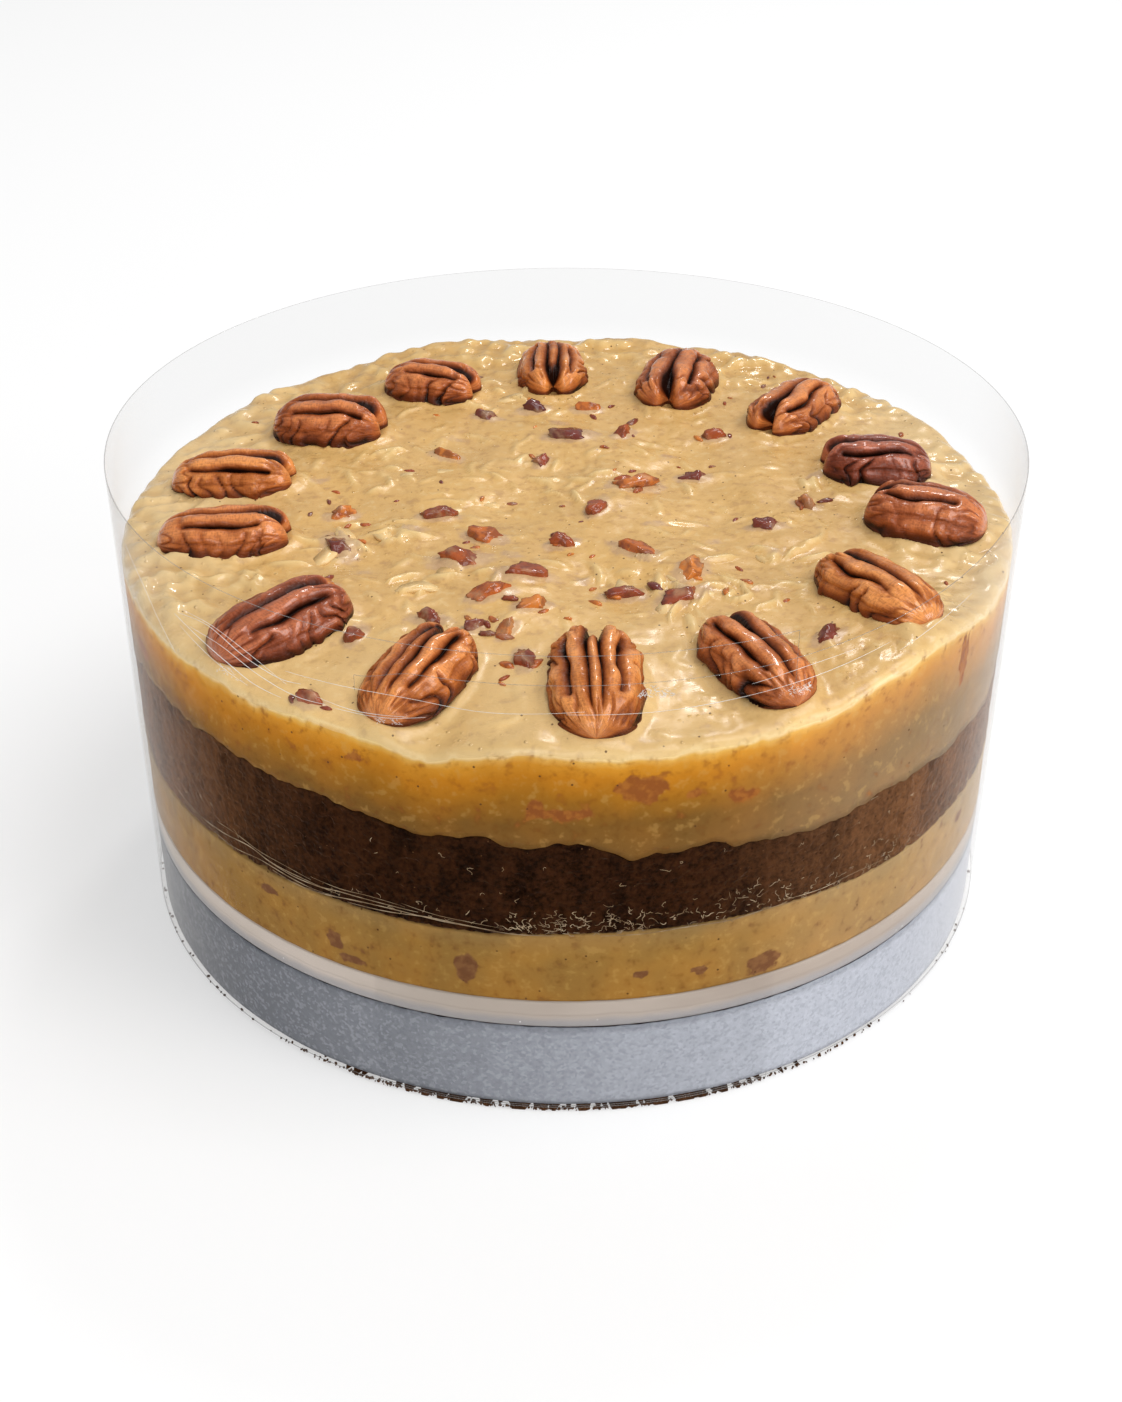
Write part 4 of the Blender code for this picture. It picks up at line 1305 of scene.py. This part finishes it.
def chopped_nuts(surface):
    """Chopped nuts on the top: the larger ones as listed, and smaller ones near them or strewn."""
    draw = random.Random(41)
    chips = [nut_chip(11.0 * seed, 3) for seed in range(6)]
    bits = [nut_chip(7.0 * seed + 3.0, 2) for seed in range(5)]
    bm = bmesh.new()
    layer = bm.verts.layers.float.new("tone")
    for place, (x, y, length, turn) in enumerate(CHOPPED):
        size = Vector((1.25 * length, 1.15 * length, 0.005))
        spin = Matrix.Rotation(radians(turn), 4, "Z")
        spin @= Matrix.Rotation(draw.uniform(-0.35, 0.35), 4, "X")
        height = frosting_form(x, y) + 0.0002
        matrix = Matrix.Translation((x, y, height)) @ spin @ Matrix.Diagonal((*size, 1.0))
        stamp(bm, chips[place % len(chips)], matrix, draw.random() ** 1.3, layer)
    made = 0
    while made < STREWN_NUTS:
        length = draw.uniform(0.001, 0.0024)
        spot = polar(draw.uniform(-180, 180), STREWN_REACH * sqrt(draw.random()))
        if made % 5 < 3:
            x, y, near, _ = draw.choice(CHOPPED)
            spot = Vector((x + draw.gauss(0, 0.7 * near), y + draw.gauss(0, 0.6 * near), 0.0))
            length *= 1.5
        turn = Matrix.Rotation(draw.uniform(0, 2 * pi), 4, "Z")
        tone = 0.95 * draw.random() ** 1.2
        chip = draw.randrange(len(bits))
        if nearest_pecan(spot.x, spot.y) < PECAN_CLEAR:
            continue
        height = frosting_skin(spot.x, spot.y)
        size = Matrix.Diagonal((1.4 * length, length, 0.55 * length, 1.0))
        stamp(bm, bits[chip], Matrix.Translation((spot.x, spot.y, height)) @ turn @ size, tone, layer)
        made += 1
    for mesh in chips + bits:
        bpy.data.meshes.remove(mesh)
    keep(bm, "chopped_nuts", [surface])


def shred_template(seed):
    """A curled coconut shred one unit long."""
    bm = bmesh.new()
    bmesh.ops.create_cube(bm, size=1.0)
    bmesh.ops.scale(bm, verts=bm.verts, vec=(1.0, 0.24, 0.1))
    long_edges = [edge for edge in bm.edges if abs(edge.verts[0].co.x - edge.verts[1].co.x) > 0.5]
    bmesh.ops.subdivide_edges(bm, edges=long_edges, cuts=5, use_grid_fill=True)
    draw = random.Random(seed)
    curl = draw.uniform(-0.3, 0.3)
    twist = draw.uniform(-1.2, 1.2)
    for vert in bm.verts:
        x = vert.co.x
        taper = 1.0 - 0.55 * smooth(abs(x), 0.25, 0.52) + draw.uniform(-0.08, 0.08)
        turn = Matrix.Rotation(twist * x, 3, "X")
        flat = turn @ Vector((0, vert.co.y * taper, vert.co.z * taper))
        vert.co = Vector((x, flat.y + curl * (x * x - 0.1), flat.z - 0.12 * x * x))
    return mesh_from(bm, "shred")


def coconut_shreds(surface):
    """Wide coconut flakes lying half under the frosting's skin in the drifts, by a seeded rule."""
    draw = random.Random(5)
    templates = [shred_template(seed) for seed in range(8)]
    bm = bmesh.new()
    for x, y, spread, count in DRIFTS:
        for _ in range(count // 4):
            spot = Vector((x + draw.gauss(0, spread * 0.4), y + draw.gauss(0, spread * 0.35)))
            length = draw.uniform(0.005, 0.01)
            turn = draw.gauss(0, 0.7)
            sink = draw.uniform(-0.0007, -0.0003)
            pick = draw.randrange(len(templates))
            if any(oval(spot.x, spot.y, *nut) < 1.4 for nut in PECAN_OVALS) or spot.length > STREWN_REACH:
                continue
            ahead = Vector((cos(turn), sin(turn))) * length / 2
            front = frosting_skin(spot.x + ahead.x, spot.y + ahead.y)
            back = frosting_skin(spot.x - ahead.x, spot.y - ahead.y)
            slope = atan2(front - back, length)
            height = max((front + back) / 2, frosting_skin(spot.x, spot.y)) + sink
            lie = Matrix.Rotation(turn, 4, "Z") @ Matrix.Rotation(-slope, 4, "Y")
            matrix = Matrix.Translation((spot.x, spot.y, height)) @ lie
            stamp(bm, templates[pick], matrix @ Matrix.Diagonal((length, 0.015, 0.0085, 1.0)))
    for mesh in templates:
        bpy.data.meshes.remove(mesh)
    bmesh.ops.recalc_face_normals(bm, faces=bm.faces)
    keep(bm, "coconut_shreds", [surface])


def foot_crumbs(surface):
    """Dark crumbs that show under the collar's foot, kept on the floor and inside the collar's outline."""
    draw = random.Random(23)
    bits = [nut_chip(5.0 * seed + 1.0, 1) for seed in range(4)]
    bm = bmesh.new()
    for made in range(STREWN_CRUMBS):
        bearing = draw.gauss(0, 17) if made % 4 < 3 else draw.uniform(-180, 180)
        size = draw.uniform(0.0004, 0.001)
        reach = min(COLLAR_RADIUS - draw.uniform(0.0002, 0.001), COLLAR_RADIUS - 0.62 * size)
        spot = polar(bearing, reach, 0.62 * size)
        spin = Matrix.Rotation(draw.uniform(0, 2 * pi), 4, "Z")
        stamp(bm, draw.choice(bits), Matrix.Translation(spot) @ spin @ Matrix.Scale(size, 4))
    for mesh in bits:
        bpy.data.meshes.remove(mesh)
    piece = keep(bm, "foot_crumbs", [surface])
    # The crumbs darkened, partly as painted shade under the collar's foot
    write_values(piece, "streak_and_foot_shade", [0.25] * len(piece.data.vertices))
    write_values(piece, "dry", [0.5] * len(piece.data.vertices))


# The collar

def collar_radius(bearing):
    return COLLAR_RADIUS - (FILM + GAP) * (1.0 - smooth(bearing, LAP_CLEAR, LAP_SETTLED))


def collar_rim(bearing):
    drop = RIM_DROP * (1.0 - smooth(bearing, RIM_LOW_UNTIL, RIM_LEVEL_FROM))
    corner = CORNER_DROP * (1.0 - smooth(bearing, INNER_END, INNER_END + CORNER_SPAN))
    return COLLAR_TOP - drop - corner


def collar(film, edge):
    """The clear strip: a grid bent round with its ends lapped, then given its thickness."""
    along, rows = ((544, 40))
    bm = bmesh.new()
    bmesh.ops.create_grid(bm, x_segments=along, y_segments=rows, size=0.5)
    for vert in bm.verts:
        bearing = INNER_END + (vert.co.x + 0.5) * (OUTER_END - INNER_END)
        height = COLLAR_FOOT + (vert.co.y + 0.5) * (collar_rim(bearing) - COLLAR_FOOT)
        vert.co = polar(bearing, collar_radius(bearing) - FILM / 2, height)
    bmesh.ops.recalc_face_normals(bm, faces=bm.faces)
    first = next(iter(bm.faces))
    if first.normal.dot(Vector((first.calc_center_median().x, first.calc_center_median().y, 0))) < 0:
        bmesh.ops.reverse_faces(bm, faces=bm.faces)
    piece = keep(bm, "film_collar", [film, edge])
    wall = piece.modifiers.new("film thickness", "SOLIDIFY")
    wall.thickness = FILM
    wall.offset = 0.0
    wall.material_offset_rim = 1
    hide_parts("collar")


# The lines' thickness, and their distance from the cake and from each other
LINE_THICK = 0.00005
LINE_CLEAR = 0.0001
# Lines on the film, drawn white as painted highlights on its creases, each a run of (bearing, height in mm)
# places with its width in mm
CREASES = (
    (((-50, 100.0), (-44, 101.5), (-38, 98.5), (-33, 96.8), (-30, 97.2)), 0.16),
    (((-49, 101.5), (-43, 102.0), (-37, 99.5), (-32, 96.0)), 0.12),
    (((-48, 98.5), (-42, 98.4), (-36, 95.6), (-31, 94.0), (-27, 94.2)), 0.14),
    (((-51, 99.0), (-46, 97.2), (-41, 95.0), (-37, 93.0), (-33, 92.4)), 0.2),
    (((-50, 97.0), (-46, 95.0), (-42, 93.2), (-38, 92.0)), 0.12),
    (((-28, 95.4), (-23, 94.6), (-17, 95.6)), 0.1),
    (((-26, 94.0), (-20, 94.4), (-15, 96.2)), 0.12),
    (((-32, 99.0), (-26, 99.4), (-17, 99.8), (-8, 98.8), (2, 99.6)), 0.1),
    (((0, 99.0), (9, 98.8), (18, 99.4), (28, 100.4), (38, 102.0)), 0.1),
    (((20, 102.0), (27, 103.2), (33, 103.6)), 0.09),
    (((40, 99.0), (47, 100.6), (54, 101.6)), 0.1),
    (((-66, 103.0), (-60, 99.0), (-56, 94.0), (-52, 89.0)), 0.12),
)
# Streaks of custard on the film, pale as painted glints: runs of (bearing, height in mm) places with their
# width in mm
SMEARS = (
    (((-58, 50.6), (-52, 49.2), (-46, 49.6), (-41, 50.6), (-37, 49.4), (-32, 49.0), (-27, 48.4)), 0.3),
    (((-55, 49.0), (-49, 48.2), (-44, 47.6), (-39, 48.6), (-34, 47.8), (-30, 47.4), (-24, 48.2)), 0.22),
    (((-47, 51.6), (-43, 51.8), (-39, 50.8), (-35, 50.4), (-31, 49.6)), 0.16),
    (((-38, 49.6), (-34, 48.6), (-30, 48.6), (-27, 49.2), (-22, 49.4), (-17, 49.2)), 0.3),
    (((-37, 47.6), (-33, 46.8), (-29, 47.2), (-25, 48.2), (-20, 48.6), (-14, 48.0), (-8, 47.4)), 0.24),
    (((-31, 50.4), (-27, 50.0), (-23, 50.4), (-19, 50.0)), 0.14),
    (((-26, 47.2), (-21, 47.6), (-16, 48.4), (-11, 47.8), (-6, 46.8), (-1, 46.8)), 0.28),
    (((-19, 50.6), (-15, 49.4), (-11, 48.8), (-7, 48.0)), 0.14),
    (((4, 46.6), (9, 46.4), (14, 46.8), (19, 46.4), (24, 47.0), (28, 46.6)), 0.2),
    (((26, 48.0), (31, 47.4), (36, 47.8), (41, 47.2)), 0.18),
)
# Where the film holds small wet squiggles, pale as painted glints: bearing range, height range in mm, how
# many
SQUIGGLES = (
    (-7, 0, 47.4, 52.4, 46), (0, 8, 47.4, 52.8, 54), (8, 16, 47.2, 52.4, 24), (16, 27, 46.6, 54.0, 46),
    (27, 44, 46.2, 51.8, 30), (44, 66, 46.2, 51.4, 18), (-30, -8, 48.4, 51.6, 20), (-70, -40, 51.0, 60.0, 10),
    (28, 60, 52.0, 66.0, 14), (70, 300, 47.4, 52.0, 130), (-24, 24, 53.0, 66.0, 18),
)
# Where the film holds grainy wet marks over the top, drawn white as painted glints
GRAIN_GLINTS = (
    (7.6, 11.6, 102.0, 104.2, 60), (24.6, 27.6, 97.8, 99.4, 46), (-43, -39, 92.0, 94.0, 24),
    (-21, -18, 93.2, 94.8, 20),
)


def curved(points, steps):
    """Points on a smooth line through the given (bearing, height) places."""
    ends = [points[0], *points, points[-1]]
    line = []
    for before, start, stop, after in zip(ends, ends[1:], ends[2:], ends[3:]):
        for step in range(steps):
            t = step / steps
            place = []
            for a, b, c, d in zip(before, start, stop, after):
                bend = 2 * a - 5 * b + 4 * c - d + t * (3 * (b - c) + d - a)
                place.append(b + 0.5 * t * (c - a + t * bend))
            line.append(place)
    return line + [list(points[-1])]


def film_line(bm, line, width, radius, seed):
    """A thin strip along a line of (bearing, height in mm) places, tapered at both ends."""
    steps = len(line) - 1
    strip = bmesh.ops.create_grid(bm, x_segments=steps, y_segments=2, size=0.5)["verts"]
    for vert in strip:
        place = min(round((vert.co.x + 0.5) * steps), steps)
        across = vert.co.y * 2.0
        share = place / steps
        here, ahead = line[max(place - 1, 0)], line[min(place + 1, steps)]
        run = Vector((radians(ahead[0] - here[0]) * radius, (ahead[1] - here[1]) / 1000.0))
        side = Vector((-run.y, run.x)).normalized()
        taper = sin(pi * min(max(share, 0.02), 0.98)) ** 0.5
        taper *= 0.75 + 0.6 * noise_at(place * 0.35, seed, 0.0)
        shift = side * across * width * 0.0005 * taper
        bearing, height = line[place]
        spot = polar(bearing + degrees(shift.x / radius), radius - 0.00002 * (across * across), 0.0)
        vert.co = Vector((spot.x, spot.y, height / 1000.0 + shift.y))


def film_lines(name, runs, radius, surface):
    """Many thin strips on the film as one piece, given their thickness by a modifier."""
    bm = bmesh.new()
    for seed, (points, width) in enumerate(runs):
        film_line(bm, curved(points, 6), width, radius, seed * 1.7)
    bmesh.ops.recalc_face_normals(bm, faces=bm.faces)
    piece = keep(bm, name, [surface])
    thick = piece.modifiers.new("line thickness", "SOLIDIFY")
    thick.thickness = LINE_THICK
    thick.offset = 0.0


def strewn(zones, seed, size):
    """Small wet squiggles on the film, strewn over zones by a seeded rule; their material paints them as
    glints.
    """
    draw = random.Random(seed)
    runs = []
    for first, last, low, high, count in zones:
        for _ in range(count):
            bearing = draw.uniform(first, last)
            height = low + (high - low) * draw.random() ** 1.5
            way = draw.uniform(0, 2 * pi)
            points = [(bearing, height)]
            for _ in range(draw.randint(2, 5)):
                way += draw.gauss(0, 1.1)
                step = size * draw.uniform(0.35, 0.9)
                bearing += degrees(step * cos(way) / 101.0)
                height = max(height + step * 0.8 * sin(way), low - 0.6)
                points.append((bearing, height))
            runs.append((tuple(points), size * draw.uniform(0.09, 0.22)))
    return tuple(runs)


# Floor, lights and camera

def stage(surface):
    bm = bmesh.new()
    bmesh.ops.create_circle(bm, cap_ends=True, radius=6.0, segments=96)
    mesh = mesh_from(bm, "floor")
    mesh.materials.append(surface)
    floor = put("floor", mesh)
    floor.location.z = -FLOOR_DROP


def lights():
    """An even pale world and the soft lamps, each aimed at the cake."""
    world = bpy.data.worlds.new("studio")
    bpy.context.scene.world = world
    world.use_nodes = True
    sky = world.node_tree.nodes["Background"].inputs
    sky["Color"].default_value = (1.0, 1.0, 1.0, 1.0)
    sky["Strength"].default_value = SKY_GLOW
    for name, place, size, watts in LAMPS:
        light = bpy.data.lights.new(name, "AREA")
        light.size = size
        light.energy = watts
        item = put(name, light)
        item.location = place
        aim = Vector((0, 0, LAMP_AIM)) - Vector(place)
        item.rotation_euler = aim.to_track_quat("-Z", "Y").to_euler()
    bpy.context.scene.view_settings.view_transform = "Standard"


def camera():
    eye = bpy.data.cameras.new("camera")
    eye.lens = CAMERA_LENS
    eye.sensor_width = 36.0
    item = put("camera", eye)
    item.location = (0.0, -CAMERA_REACH, CAMERA_HEIGHT)
    item.rotation_euler = (radians(90 - CAMERA_PITCH), 0.0, radians(CAMERA_YAW))
    bpy.context.scene.camera = item


def main():
    # The frosting's colours down its side: a pale painted highlight at the lip, then darker lower down as
    # painted light carried down from the top
    frosting_stops = (
        (0.0, (0.64, 0.388, 0.137)), (0.022, (0.72, 0.45, 0.165)), (0.04, (0.9, 0.66, 0.33)),
        (0.072, (0.74, 0.4, 0.085)), (0.13, (0.63, 0.27, 0.025)), (0.25, (0.5, 0.19, 0.012)),
        (0.45, (0.36, 0.147, 0.012)), (0.72, (0.2, 0.094, 0.017)), (1.0, (0.185, 0.092, 0.022)),
    )
    filling_stops = ((0.0, (0.29, 0.175, 0.06)), (0.3, (0.305, 0.164, 0.038)), (1.0, (0.305, 0.155, 0.033)))
    crumbs = crumb()
    skin = pecan_skin()
    pale, warm = (0.84, 0.64, 0.34), (0.6, 0.36, 0.1)
    milky, brown, dark = (0.46, 0.3, 0.2), (0.26, 0.075, 0.018), (0.15, 0.055, 0.025)
    top = custard(
        "frosting_custard", frosting_stops, fleck=pale, stain=milky, stain_pale=(0.56, 0.38, 0.25),
        stain_share=0.55, stain_edge=(0.1, 0.9), speck_share=0.5,
        gloss=0.24, relief=0.22, specular=0.46, bead_share=0.55, on_top=True,
    )
    side = custard(
        "frosting_side", frosting_stops, fleck=warm, stain=brown, stain_pale=(0.38, 0.13, 0.024),
        stain_share=0.9, stain_edge=(0.18, 0.62), speck_share=0.6,
        gloss=0.45, relief=0.15, specular=0.06, bead_share=0.04,
    )
    middle = custard(
        "filling_custard", filling_stops, fleck=warm, stain=dark, stain_pale=(0.22, 0.095, 0.038),
        stain_share=0.88, stain_edge=(0.2, 0.64), speck_share=0.55,
        gloss=0.45, relief=0.12, specular=0.06, bead_share=0.04,
    )
    frosting(top, side)
    middle_sponge(crumbs)
    filling(middle)
    cream_layer(cream())
    paper_band(greased_paper())
    bottom_sponge(crumbs)
    for number in range(1, len(PECANS) + 1):
        pecan(number, skin)
    chopped_nuts(nut_flesh())
    coconut_shreds(coconut())
    foot_crumbs(crumbs)
    collar(clear_film("clear_film"), clear_film("film_edge", ends=True))
    inside = CAKE_RADIUS + LINE_CLEAR
    film_lines("smears_and_glints", SMEARS + strewn(SQUIGGLES, 31, 0.85), inside, smear_and_glint())
    film_lines("film_creases", CREASES + strewn(GRAIN_GLINTS, 57, 0.42), inside + LINE_CLEAR, film_glints())
    stage(floor_paint())
    lights()
    camera()


main()
